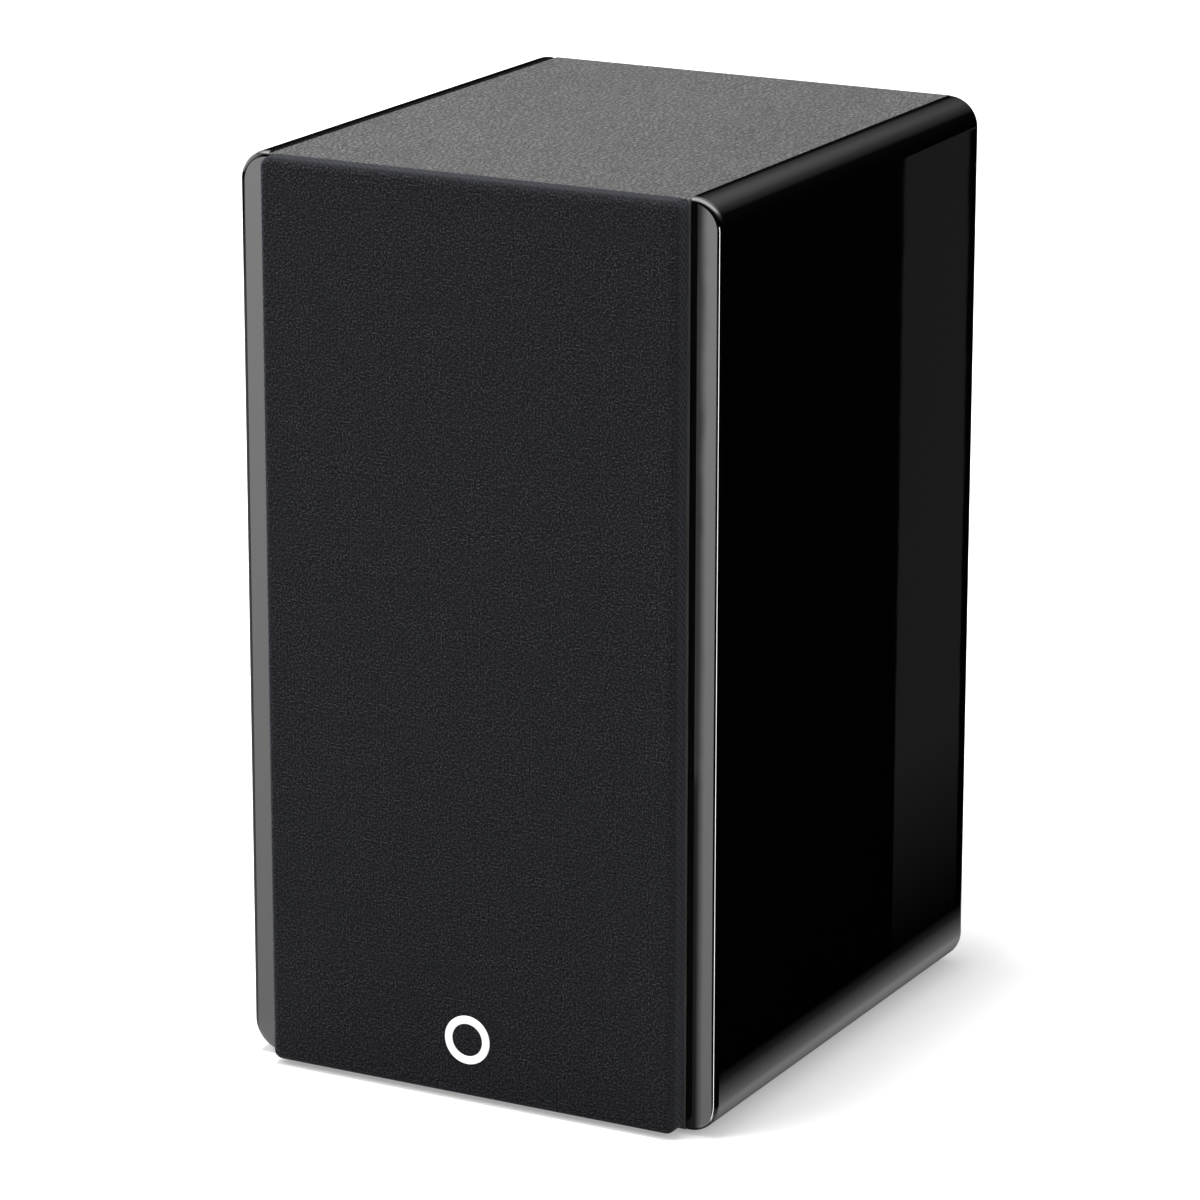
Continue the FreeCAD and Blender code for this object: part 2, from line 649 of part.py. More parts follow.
def woofer_basket():
    """Cast basket with a flange, a shelf for the spider, a magnet plate and windows between its arms."""
    shelf_back = SPIDER_DEPTH + 2
    plate_front = BASKET_PLATE_DEPTH - BASKET_WALL
    body = woofer_turned([
        (SURROUND_OUTER_RADIUS, SURROUND_SEAT_DEPTH), (BASKET_FLANGE_RADIUS, SURROUND_SEAT_DEPTH),
        (BASKET_FLANGE_RADIUS, BASKET_FLANGE_DEPTH), (BASKET_NECK_RADIUS, BASKET_FLANGE_DEPTH),
        (BASKET_NECK_RADIUS, BASKET_NECK_DEPTH), (BASKET_REAR_RADIUS, BASKET_REAR_DEPTH),
        (BASKET_REAR_RADIUS, BASKET_PLATE_DEPTH), (BASKET_PLATE_BORE, BASKET_PLATE_DEPTH),
        (BASKET_PLATE_BORE, plate_front), (basket_inner_radius(BASKET_REAR_DEPTH), plate_front),
        (basket_inner_radius(BASKET_REAR_DEPTH), BASKET_REAR_DEPTH),
        (basket_inner_radius(shelf_back), shelf_back), (SPIDER_SHELF_RADIUS, shelf_back),
        (SPIDER_SHELF_RADIUS, SPIDER_DEPTH), (basket_inner_radius(SPIDER_DEPTH), SPIDER_DEPTH),
        (basket_inner_radius(BASKET_NECK_DEPTH), BASKET_NECK_DEPTH)])
    half = BASKET_WINDOW_WIDTH / 2
    for i in range(BASKET_WINDOWS):
        window = box(SPIDER_SHELF_RADIUS - 4, BASKET_FLANGE_RADIUS, FRONT + BASKET_WINDOW_START,
                     FRONT + BASKET_WINDOW_END, -half, half)
        window.rotate(FreeCAD.Vector(0, 0, 0), Y_AXIS, 360.0 * i / BASKET_WINDOWS)
        window.translate(FreeCAD.Vector(0, 0, WOOFER_HEIGHT))
        body = body.cut(window)
    return drilled(body, woofer_screw_points(), WOOFER_SCREW_SHANK + 0.3,
                   FRONT, FRONT + BASKET_FLANGE_DEPTH + 1)


def woofer_trim():
    """Trim ring that clamps the edge of the surround."""
    lip_front = SURROUND_SEAT_DEPTH - SURROUND_SKIN
    body = woofer_turned([
        (TRIM_INNER_RADIUS, -TRIM_PROUD), (BASKET_FLANGE_RADIUS, -TRIM_PROUD),
        (BASKET_FLANGE_RADIUS, TRIM_THICKNESS - TRIM_PROUD),
        (SURROUND_LIP_RADIUS + 0.3, TRIM_THICKNESS - TRIM_PROUD),
        (SURROUND_LIP_RADIUS + 0.3, lip_front), (TRIM_INNER_RADIUS, lip_front)])
    return drilled(body, woofer_screw_points(), WOOFER_SCREW_SHANK + 0.3,
                   FRONT - 2, FRONT + BASKET_FLANGE_DEPTH)


def half_roll(bond, inner, outer, lip, back, skin):
    """Half section of a rolled edge: flat bond, roll towards the front, flat lip."""
    front = back - skin
    middle = (inner + outer) / 2
    roll = (outer - inner) / 2
    return [(bond, front), (inner, front), ((middle, front - roll), (outer, front)),
            (lip, front), (lip, back), (outer - skin, back),
            ((middle, back - roll), (inner + skin, back)), (bond, back)]


def woofer_surround():
    """Rubber roll between the cone and the basket."""
    return woofer_turned(half_roll(SURROUND_BOND_RADIUS, SURROUND_INNER_RADIUS,
                                   SURROUND_OUTER_RADIUS, SURROUND_LIP_RADIUS,
                                   SURROUND_SEAT_DEPTH, SURROUND_SKIN))


def cone_front_depth(radius):
    """Depth of the cone's front face at a radius."""
    run = (SURROUND_BOND_RADIUS - radius) / (SURROUND_BOND_RADIUS - CONE_NECK_RADIUS)
    return SURROUND_SEAT_DEPTH + run * (CONE_NECK_DEPTH - SURROUND_SEAT_DEPTH)


def woofer_cone():
    """Pulp cone with a flat rim under the surround."""
    rim = SURROUND_SEAT_DEPTH
    return woofer_turned([
        (SURROUND_INNER_RADIUS, rim), (SURROUND_BOND_RADIUS, rim),
        (CONE_NECK_RADIUS, CONE_NECK_DEPTH), (CONE_NECK_RADIUS, CONE_NECK_DEPTH + CONE_SKIN),
        (SURROUND_BOND_RADIUS + 0.4, rim + CONE_FLANGE), (SURROUND_INNER_RADIUS, rim + CONE_FLANGE)])


def cap_section(radius, rise, base, skin):
    """Half section of a thin dome that rises towards the front from its base depth."""
    def sag(r, height, at):
        ball = (r * r + height * height) / (2 * height)
        return base - height + ball - math.sqrt(ball * ball - at * at)

    inner = radius - skin
    inner_rise = rise - skin
    return [(0, base - rise), ((radius / 2, sag(radius, rise, radius / 2)), (radius, base)),
            (inner, base), ((inner / 2, sag(inner, inner_rise, inner / 2)), (0, base - inner_rise))]


def woofer_dust_cap():
    """Dust cap bonded on the cone."""
    base = cone_front_depth(DUST_CAP_RADIUS) - DUST_CAP_SEAT_GAP
    return woofer_turned(cap_section(DUST_CAP_RADIUS, DUST_CAP_RISE, base, DUST_CAP_SKIN))


def woofer_coil_former():
    """Thin tube that carries the winding."""
    return woofer_ring(FORMER_RADIUS, FORMER_RADIUS - FORMER_WALL, FORMER_START,
                       COIL_START + COIL_LENGTH)


def woofer_voice_coil():
    """Copper winding on the former."""
    return woofer_ring(FORMER_RADIUS + COIL_BUILD, FORMER_RADIUS + BOND_GAP, COIL_START,
                       COIL_START + COIL_LENGTH)


def woofer_spider():
    """Corrugated centring disc between the former and the basket's shelf."""
    back = SPIDER_DEPTH
    span = SPIDER_SHELF_RADIUS - SPIDER_WAVE_START
    steps = SPIDER_WAVES * 8
    wave = []
    for i in range(1, steps):
        turn = 2 * math.pi * SPIDER_WAVES * i / steps
        wave.append((SPIDER_WAVE_START + span * i / steps, -SPIDER_WAVE_HEIGHT * math.sin(turn)))
    front = [(r, back - SPIDER_SKIN + w) for r, w in wave]
    rear = [(r, back + w) for r, w in reversed(wave)]
    inner = FORMER_RADIUS + BOND_GAP
    return woofer_turned([(inner, back - SPIDER_SKIN), (SPIDER_WAVE_START, back - SPIDER_SKIN)]
                         + front + [(SPIDER_SHELF_RADIUS, back - SPIDER_SKIN),
                                    (SPIDER_OUTER_RADIUS, back - SPIDER_SKIN),
                                    (SPIDER_OUTER_RADIUS, back), (SPIDER_SHELF_RADIUS, back)]
                         + rear + [(SPIDER_WAVE_START, back), (inner, back)])


def woofer_top_plate():
    """Steel plate in front of the magnet."""
    bore = FORMER_RADIUS + COIL_BUILD + AIR_GAP
    return woofer_ring(TOP_PLATE_RADIUS, bore, BASKET_PLATE_DEPTH,
                       BASKET_PLATE_DEPTH + TOP_PLATE_THICKNESS)


def woofer_magnet():
    """Ferrite ring."""
    start = BASKET_PLATE_DEPTH + TOP_PLATE_THICKNESS
    return woofer_ring(MAGNET_RADIUS, MAGNET_BORE, start, start + MAGNET_THICKNESS)


def woofer_back_plate():
    """Steel back plate with the vented pole in one piece."""
    start = BASKET_PLATE_DEPTH + TOP_PLATE_THICKNESS + MAGNET_THICKNESS
    pole = FORMER_RADIUS - FORMER_WALL - AIR_GAP
    plate = rod(TOP_PLATE_RADIUS, FRONT + start, FRONT + start + BACK_PLATE_THICKNESS, 0, WOOFER_HEIGHT)
    plate = plate.fuse(rod(pole, FRONT + BASKET_PLATE_DEPTH, FRONT + start, 0, WOOFER_HEIGHT))
    return plate.cut(rod(POLE_VENT_RADIUS, FRONT, FRONT + 2 * start, 0, WOOFER_HEIGHT))


def woofer_screws():
    """Screws through the trim ring and flange into the baffle."""
    return Part.makeCompound([
        screw(x, z, FRONT - TRIM_PROUD, WOOFER_SCREW_REACH, WOOFER_SCREW_SHANK,
              WOOFER_SCREW_HEAD, WOOFER_SCREW_HEAD_HEIGHT, 1)
        for x, z in woofer_screw_points()])


def tab_pair(spacing, z, start):
    """Two solder tabs that stand on a terminal strip."""
    tabs = []
    for side in (-1, 1):
        x = side * spacing
        tabs.append(box(x - TAB_WIDTH / 2, x + TAB_WIDTH / 2, start, start + TAB_LENGTH,
                        z - TAB_THICKNESS / 2, z + TAB_THICKNESS / 2))
    return tabs


def woofer_tab_strip():
    """Insulating strip on the back of the magnet plate."""
    z = WOOFER_HEIGHT + WOOFER_TAB_RISE
    start = FRONT + BASKET_PLATE_DEPTH
    half = WOOFER_TAB_SPACING + 4
    return box(-half, half, start, start + TAB_STRIP_DEPTH, z - 2.2, z + 2.2)


def woofer_tabs():
    """The woofer's two solder tabs."""
    start = FRONT + BASKET_PLATE_DEPTH + TAB_STRIP_DEPTH
    return Part.makeCompound(tab_pair(WOOFER_TAB_SPACING, WOOFER_HEIGHT + WOOFER_TAB_RISE, start))


# ---- tweeter -------------------------------------------------------------
def tweeter_turned(steps):
    """Turn a tweeter section given as (radius, depth behind the baffle face)."""
    def deep(p):
        return (p[0], p[1] + FRONT)

    placed = [(deep(s[0]), deep(s[1])) if isinstance(s[0], tuple) else deep(s) for s in steps]
    return turned(placed, 0, TWEETER_HEIGHT)


def tweeter_ring(outer, inner, d0, d1):
    """A ring on the tweeter's axis."""
    return ring(outer, inner, FRONT + d0, FRONT + d1, 0, TWEETER_HEIGHT)


def tweeter_screw_points():
    """Centres of the tweeter screws."""
    return around(TWEETER_SCREWS, TWEETER_SCREW_CIRCLE, 0, TWEETER_HEIGHT, 45.0)


def tweeter_faceplate():
    """Round faceplate with a shallow waveguide and a clamp step for the diaphragm."""
    step = TWEETER_LIP_DEPTH - 0.05
    plate = tweeter_turned([
        (TWEETER_PLATE_RADIUS, 0), (TWEETER_PLATE_RADIUS, TWEETER_PLATE_DEPTH),
        (TWEETER_LIP_RADIUS + 0.2, TWEETER_PLATE_DEPTH), (TWEETER_LIP_RADIUS + 0.2, step),
        (WAVEGUIDE_THROAT, step), (WAVEGUIDE_THROAT, WAVEGUIDE_DEPTH), (WAVEGUIDE_RADIUS, 0)])
    plate = drilled(plate, tweeter_screw_points(), TWEETER_SCREW_SHANK + 0.2, FRONT - 1, FRONT + 9)
    return drilled(plate, tweeter_screw_points(), TWEETER_SCREW_HEAD + 0.3,
                   FRONT - 1, FRONT + TWEETER_SCREW_RECESS)


def tweeter_surround():
    """Soft roll around the dome, clamped behind the faceplate."""
    return tweeter_turned(half_roll(DOME_RADIUS + DOME_BOND_GAP, TWEETER_ROLL_INNER,
                                    TWEETER_ROLL_OUTER, TWEETER_LIP_RADIUS,
                                    TWEETER_LIP_DEPTH + TWEETER_SKIN, TWEETER_SKIN))


def tweeter_dome():
    """Soft dome."""
    base = TWEETER_LIP_DEPTH + TWEETER_SKIN
    return tweeter_turned(cap_section(DOME_RADIUS, DOME_RISE, base, DOME_SKIN))


def tweeter_voice_coil():
    """Former and winding in one piece."""
    start = TWEETER_LIP_DEPTH + TWEETER_SKIN + DOME_BOND_GAP
    former = tweeter_ring(TWEETER_FORMER_RADIUS, TWEETER_FORMER_RADIUS - TWEETER_FORMER_WALL,
                          start, TWEETER_FORMER_END)
    winding = tweeter_ring(TWEETER_FORMER_RADIUS + TWEETER_COIL_BUILD,
                           TWEETER_FORMER_RADIUS - TWEETER_FORMER_WALL / 2,
                           TWEETER_COIL_START, TWEETER_COIL_START + TWEETER_COIL_LENGTH)
    return former.fuse(winding).removeSplitter()


def tweeter_top_plate():
    """Steel plate behind the faceplate."""
    bore = TWEETER_FORMER_RADIUS + TWEETER_COIL_BUILD + AIR_GAP
    return tweeter_ring(TWEETER_MOTOR_RADIUS, bore, TWEETER_PLATE_DEPTH,
                        TWEETER_PLATE_DEPTH + TWEETER_TOP_PLATE)


def tweeter_magnet():
    """Ring magnet."""
    start = TWEETER_PLATE_DEPTH + TWEETER_TOP_PLATE
    return tweeter_ring(TWEETER_MOTOR_RADIUS, TWEETER_MAGNET_BORE, start, start + TWEETER_MAGNET)


def tweeter_back_plate():
    """Steel back plate with its pole."""
    start = FRONT + TWEETER_PLATE_DEPTH + TWEETER_TOP_PLATE + TWEETER_MAGNET
    pole = TWEETER_FORMER_RADIUS - TWEETER_FORMER_WALL - AIR_GAP
    plate = rod(TWEETER_MOTOR_RADIUS, start, start + TWEETER_BACK_PLATE, 0, TWEETER_HEIGHT)
    return plate.fuse(rod(pole, FRONT + TWEETER_POLE_START, start, 0, TWEETER_HEIGHT)).removeSplitter()


def tweeter_motor_end():
    """Depth of the tweeter motor's rear face."""
    return FRONT + TWEETER_PLATE_DEPTH + TWEETER_TOP_PLATE + TWEETER_MAGNET + TWEETER_BACK_PLATE


def tweeter_chamber():
    """Moulded rear chamber."""
    start = tweeter_motor_end()
    chamber = rod(CHAMBER_RADIUS, start, start + CHAMBER_DEPTH, 0, TWEETER_HEIGHT)
    rim = [e for e in chamber.Edges if e.BoundBox.YMin > start + CHAMBER_DEPTH - 0.01]
    return chamber.makeFillet(CHAMBER_ROUNDING, rim)


def tweeter_guard():
    """Three crossing bars and a ring, arched over the dome."""
    seat = GUARD_SEAT - GUARD_RIM_THICKNESS
    rim = tweeter_ring(GUARD_RADIUS, GUARD_RADIUS - GUARD_RIM, seat, GUARD_SEAT)
    arch = tweeter_turned(cap_section(GUARD_RADIUS - 0.2, GUARD_RISE, seat + 0.1, GUARD_SKIN))
    star = tweeter_ring(GUARD_RING_RADIUS, GUARD_RING_RADIUS - GUARD_BAR_WIDTH, -GUARD_RISE - 1, 3)
    for i in range(GUARD_BARS):
        bar = box(-GUARD_RADIUS, GUARD_RADIUS, FRONT - GUARD_RISE - 1, FRONT + 3,
                  -GUARD_BAR_WIDTH / 2, GUARD_BAR_WIDTH / 2)
        bar.rotate(FreeCAD.Vector(0, 0, 0), Y_AXIS, 30.0 + 180.0 * i / GUARD_BARS)
        bar.translate(FreeCAD.Vector(0, 0, TWEETER_HEIGHT))
        star = star.fuse(bar)
    return rim.fuse(arch.common(star)).removeSplitter()


def tweeter_screws():
    """Screws in the faceplate's recesses."""
    return Part.makeCompound([
        screw(x, z, FRONT + TWEETER_SCREW_RECESS, TWEETER_SCREW_REACH - TWEETER_SCREW_RECESS,
              TWEETER_SCREW_SHANK, TWEETER_SCREW_HEAD, TWEETER_SCREW_HEAD_HEIGHT, 1)
        for x, z in tweeter_screw_points()])


def tweeter_tab_strip():
    """Insulating strip on the tweeter's back plate."""
    start = tweeter_motor_end()
    z = TWEETER_HEIGHT - TWEETER_TAB_DROP
    half = TWEETER_TAB_SPACING + 3
    return box(-half, half, start, start + TAB_STRIP_DEPTH, z - 2, z + 2)


def tweeter_tabs():
    """The tweeter's two solder tabs."""
    start = tweeter_motor_end() + TAB_STRIP_DEPTH
    return Part.makeCompound(tab_pair(TWEETER_TAB_SPACING, TWEETER_HEIGHT - TWEETER_TAB_DROP, start))


# ---- reflex port ---------------------------------------------------------
def port_tube():
    """Flared port moulding with a flange on the rear panel."""
    mouth = REAR + PORT_FLANGE_THICKNESS
    flare = mouth - PORT_FLARE_RADIUS
    lip = PORT_RADIUS + PORT_FLARE_RADIUS
    bow = PORT_FLARE_RADIUS * math.sqrt(0.5)
    outer = PORT_RADIUS + PORT_WALL
    end = REAR - PORT_LENGTH
    return turned([
        (PORT_RADIUS, end + 12), (PORT_RADIUS, flare), ((lip - bow, flare + bow), (lip, mouth)),
        (PORT_FLANGE_RADIUS - 1, mouth), (PORT_FLANGE_RADIUS, mouth - 1), (PORT_FLANGE_RADIUS, REAR),
        (PORT_HOLE_MOUTH - 0.5, REAR), (PORT_HOLE_MOUTH - 5.5, REAR - 4),
        (PORT_HOLE_MOUTH - 8.5, REAR - 9), (outer, flare), (outer, end + 13),
        (outer + 5, end + 1), (outer + 4, end), (PORT_RADIUS + 5, end)], 0, PORT_HEIGHT)


# ---- terminals -----------------------------------------------------------
def cup_screw_points():
    """Centres of the terminal cup screws."""
    return [(sx * CUP_SCREW_X, TERMINAL_HEIGHT + sz * CUP_SCREW_Z) for sx in (-1, 1) for sz in (-1, 1)]


def post_points():
    """Centres of the two binding posts."""
    return [(side * POST_SPACING / 2, TERMINAL_HEIGHT) for side in (-1, 1)]


def terminal_cup():
    """Recessed terminal cup with a flange on the rear panel."""
    face = REAR + REAR_PROUD
    z = TERMINAL_HEIGHT
    cup = slab(CUP_WIDTH, CUP_HEIGHT, CUP_CORNER, CUP_FACE - CUP_FLOOR, face, 0, z)
    cup = cup.fuse(slab(CUP_FLANGE_WIDTH, CUP_FLANGE_HEIGHT, CUP_FLANGE_CORNER,
                        REAR + CUP_GASKET_THICKNESS, face, 0, z))
    recess = slab(CUP_WIDTH - 2 * CUP_WALL, CUP_HEIGHT - 2 * CUP_WALL, CUP_CORNER - CUP_WALL,
                  CUP_FACE, face + 1, 0, z)
    cup = cup.cut(recess).removeSplitter()
    cup = drilled(cup, cup_screw_points(), CUP_SCREW_SHANK + 0.3, REAR - 1, face + 1)
    return drilled(cup, post_points(), POST_RADIUS + POST_HOLE_FIT, CUP_FACE - CUP_FLOOR - 1, CUP_FACE + 1)


def terminal_gasket():
    """Foam gasket under the cup's flange."""
    gasket = slab(CUP_FLANGE_WIDTH - 1, CUP_FLANGE_HEIGHT - 1, CUP_FLANGE_CORNER - 0.5,
                  REAR, REAR + CUP_GASKET_THICKNESS, 0, TERMINAL_HEIGHT)
    gasket = gasket.cut(slab(CUP_WIDTH + 2 * CUP_HOLE_FIT, CUP_HEIGHT + 2 * CUP_HOLE_FIT, CUP_CORNER,
                             REAR - 1, REAR + 2, 0, TERMINAL_HEIGHT))
    return drilled(gasket, cup_screw_points(), CUP_SCREW_SHANK + 0.3, REAR - 1, REAR + 2)


def terminal_screws():
    """Screws through the cup's flange."""
    return Part.makeCompound([
        screw(x, z, REAR + REAR_PROUD, CUP_SCREW_REACH, CUP_SCREW_SHANK,
              CUP_SCREW_HEAD, CUP_SCREW_HEAD_HEIGHT, -1)
        for x, z in cup_screw_points()])


def post_studs():
    """Plated posts with a flange, a wire hole and a plug bore in the end."""
    studs = []
    for x, z in post_points():
        stud = rod(POST_RADIUS, CUP_FACE - CUP_FLOOR - POST_INNER_LENGTH, POST_END, x, z)
        stud = stud.fuse(rod(POST_FLANGE_RADIUS, COLLAR_TOP, POST_SEAT, x, z))
        stud = stud.cut(rod(POST_BORE_RADIUS, POST_END - POST_BORE_DEPTH, POST_END + 1, x, z))
        y = CUP_FACE + POST_WIRE_HOLE_OFFSET
        stud = stud.cut(upright(POST_WIRE_HOLE_RADIUS, z - POST_RADIUS - 1, z + POST_RADIUS + 1, x, y))
        studs.append(stud)
    return Part.makeCompound(studs)


def post_collar(x, z):
    """Coloured insulating collar under a post."""
    collar = ring(COLLAR_RADIUS, POST_RADIUS + POST_HOLE_FIT, CUP_FACE, COLLAR_TOP, x, z)
    rim = [e for e in collar.Edges
           if e.BoundBox.YMin > COLLAR_TOP - 0.01 and e.BoundBox.XLength > 1.9 * COLLAR_RADIUS]
    return collar.makeChamfer(0.6, rim)


def post_nuts():
    """Hexagon nuts inside the cabinet."""
    back = CUP_FACE - CUP_FLOOR
    nuts = []
    for x, z in post_points():
        corners = [FreeCAD.Vector(px, back - NUT_THICKNESS, pz) for px, pz in around(6, NUT_RADIUS, x, z)]
        outline = Part.Face(Part.makePolygon(corners + [corners[0]]))
        nut = outline.extrude(FreeCAD.Vector(0, NUT_THICKNESS, 0))
        nuts.append(nut.cut(rod(POST_RADIUS + SEAT_FIT, back - NUT_THICKNESS - 1, back + 1, x, z)))
    return Part.makeCompound(nuts)


def post_washer(x, z):
    """Loose washer under a knob."""
    start = POST_SEAT + KNOB_GAP
    return ring(WASHER_RADIUS, POST_RADIUS + KNOB_FIT, start, start + WASHER_THICKNESS, x, z)


def post_knob(x, z):
    """Fluted screw-down knob, open at the end for a plug."""
    end = KNOB_START + KNOB_LENGTH
    bore = POST_RADIUS + KNOB_FIT
    knob = turned([(bore, KNOB_START), (KNOB_RADIUS - KNOB_CHAMFER, KNOB_START),
                   (KNOB_RADIUS, KNOB_START + KNOB_CHAMFER), (KNOB_RADIUS, end - KNOB_CHAMFER),
                   (KNOB_RADIUS - KNOB_CHAMFER, end), (bore + 0.6, end), (bore, end - 0.6)], x, z)
    return drilled(knob, around(KNOB_FLUTES, KNOB_FLUTE_CIRCLE, x, z), KNOB_FLUTE_RADIUS,
                   KNOB_START + KNOB_FLUTE_START, end + 1)


# ---- crossover -----------------------------------------------------------
def board_corners():
    """Fixing points of the crossover board, as (x, y)."""
    half = BOARD_WIDTH / 2 - SPACER_INSET
    ends = (BOARD_FRONT + SPACER_INSET, BOARD_FRONT + BOARD_DEPTH - SPACER_INSET)
    return [(side * half, y) for side in (-1, 1) for y in ends]


def crossover_board():
    """Fibreboard circuit board over the bottom panel."""
    board = box(-BOARD_WIDTH / 2, BOARD_WIDTH / 2, BOARD_FRONT, BOARD_FRONT + BOARD_DEPTH,
                BOARD_BOTTOM, BOARD_TOP)
    for x, y in board_corners():
        board = board.cut(upright(BOARD_SCREW_SHANK + 0.2, BOARD_BOTTOM - 1, BOARD_TOP + 1, x, y))
    return board


def board_spacers():
    """Spacers between the board and the bottom panel."""
    return Part.makeCompound([
        upright(SPACER_RADIUS, FLOOR_INSIDE, BOARD_BOTTOM, x, y).cut(
            upright(BOARD_SCREW_SHANK + 0.2, FLOOR_INSIDE - 1, BOARD_BOTTOM + 1, x, y))
        for x, y in board_corners()])


def board_screws():
    """Screws through the board and spacers into the bottom panel."""
    return Part.makeCompound([
        upright(BOARD_SCREW_SHANK, FLOOR_INSIDE - BOARD_SCREW_REACH, BOARD_TOP, x, y).fuse(
            upright(BOARD_SCREW_HEAD, BOARD_TOP, BOARD_TOP + BOARD_SCREW_HEAD_HEIGHT, x, y))
        for x, y in board_corners()])


def bottom_panel():
    """Bottom panel with pilot holes for the crossover's screws."""
    panel = level_panel(PANEL_BOTTOM)
    for x, y in board_corners():
        panel = panel.cut(upright(BOARD_SCREW_SHANK + SEAT_FIT, FLOOR_INSIDE - BOARD_SCREW_REACH,
                                  FLOOR_INSIDE + 1, x, y))
    return panel


def crossover_inductors():
    """Two air-cored coils."""
    y = BOARD_FRONT + INDUCTOR_SET_BACK
    top = BOARD_TOP + INDUCTOR_HEIGHT
    return Part.makeCompound([
        upright(INDUCTOR_RADIUS, BOARD_TOP, top, side * INDUCTOR_X, y).cut(
            upright(INDUCTOR_BORE, BOARD_TOP - 1, top + 1, side * INDUCTOR_X, y))
        for side in (-1, 1)])


def crossover_capacitors():
    """Four film capacitors that lie across the board."""
    z = BOARD_TOP + CAPACITOR_RADIUS + CAPACITOR_BED
    cans = []
    for side in (-1, 1):
        for y in CAPACITOR_ROWS:
            start = FreeCAD.Vector(side * CAPACITOR_X - CAPACITOR_LENGTH / 2, BOARD_FRONT + y, z)
            can = Part.makeCylinder(CAPACITOR_RADIUS, CAPACITOR_LENGTH, start, FreeCAD.Vector(1, 0, 0))
            cans.append(can.makeChamfer(0.8, can.Edges[0:1]))
    return Part.makeCompound(cans)


def crossover_resistors():
    """Two ceramic resistors."""
    y = BOARD_FRONT + RESISTOR_SET_BACK
    bars = []
    for side in (-1, 1):
        x = side * RESISTOR_X
        bars.append(box(x - RESISTOR_WIDTH / 2, x + RESISTOR_WIDTH / 2,
                        y - RESISTOR_LENGTH / 2, y + RESISTOR_LENGTH / 2,
                        BOARD_TOP, BOARD_TOP + RESISTOR_WIDTH))
    return Part.makeCompound(bars)


def crossover_block():
    """Screw block where the driver leads enter."""
    return box(-BLOCK_WIDTH / 2, BLOCK_WIDTH / 2, BOARD_FRONT + 1, BOARD_FRONT + 1 + BLOCK_DEPTH,
               BOARD_TOP, BOARD_TOP + BLOCK_HEIGHT)


def driver_leads(spacing, start_y, start_z, set_off):
    """A pair of leads from a driver's tabs, back, down and forward into the block."""
    block = BOARD_FRONT + 1
    z = BOARD_TOP + BLOCK_WIRE_HEIGHT
    drop = block - set_off
    return Part.makeCompound([
        lead([FreeCAD.Vector(side * spacing, start_y, start_z), FreeCAD.Vector(side * spacing, drop, start_z),
              FreeCAD.Vector(side * spacing, drop, z), FreeCAD.Vector(side * spacing, block, z)], LEAD_BEND)
        for side in (-1, 1)])


def input_leads():
    """Leads from the posts down to the board."""
    start = CUP_FACE - CUP_FLOOR - POST_INNER_LENGTH
    drop = start - INPUT_LEAD_RUN
    return Part.makeCompound([
        lead([FreeCAD.Vector(x, start, z), FreeCAD.Vector(x, drop, z),
              FreeCAD.Vector(x, drop, BOARD_TOP)], LEAD_BEND)
        for x, z in post_points()])


def woofer_leads():
    """Leads to the woofer."""
    start = FRONT + BASKET_PLATE_DEPTH + TAB_STRIP_DEPTH + TAB_LENGTH
    return driver_leads(WOOFER_TAB_SPACING, start, WOOFER_HEIGHT + WOOFER_TAB_RISE, WOOFER_LEAD_SET_OFF)


def tweeter_leads():
    """Leads to the tweeter."""
    start = tweeter_motor_end() + TAB_STRIP_DEPTH + TAB_LENGTH
    return driver_leads(TWEETER_TAB_SPACING, start, TWEETER_HEIGHT - TWEETER_TAB_DROP, TWEETER_LEAD_SET_OFF)


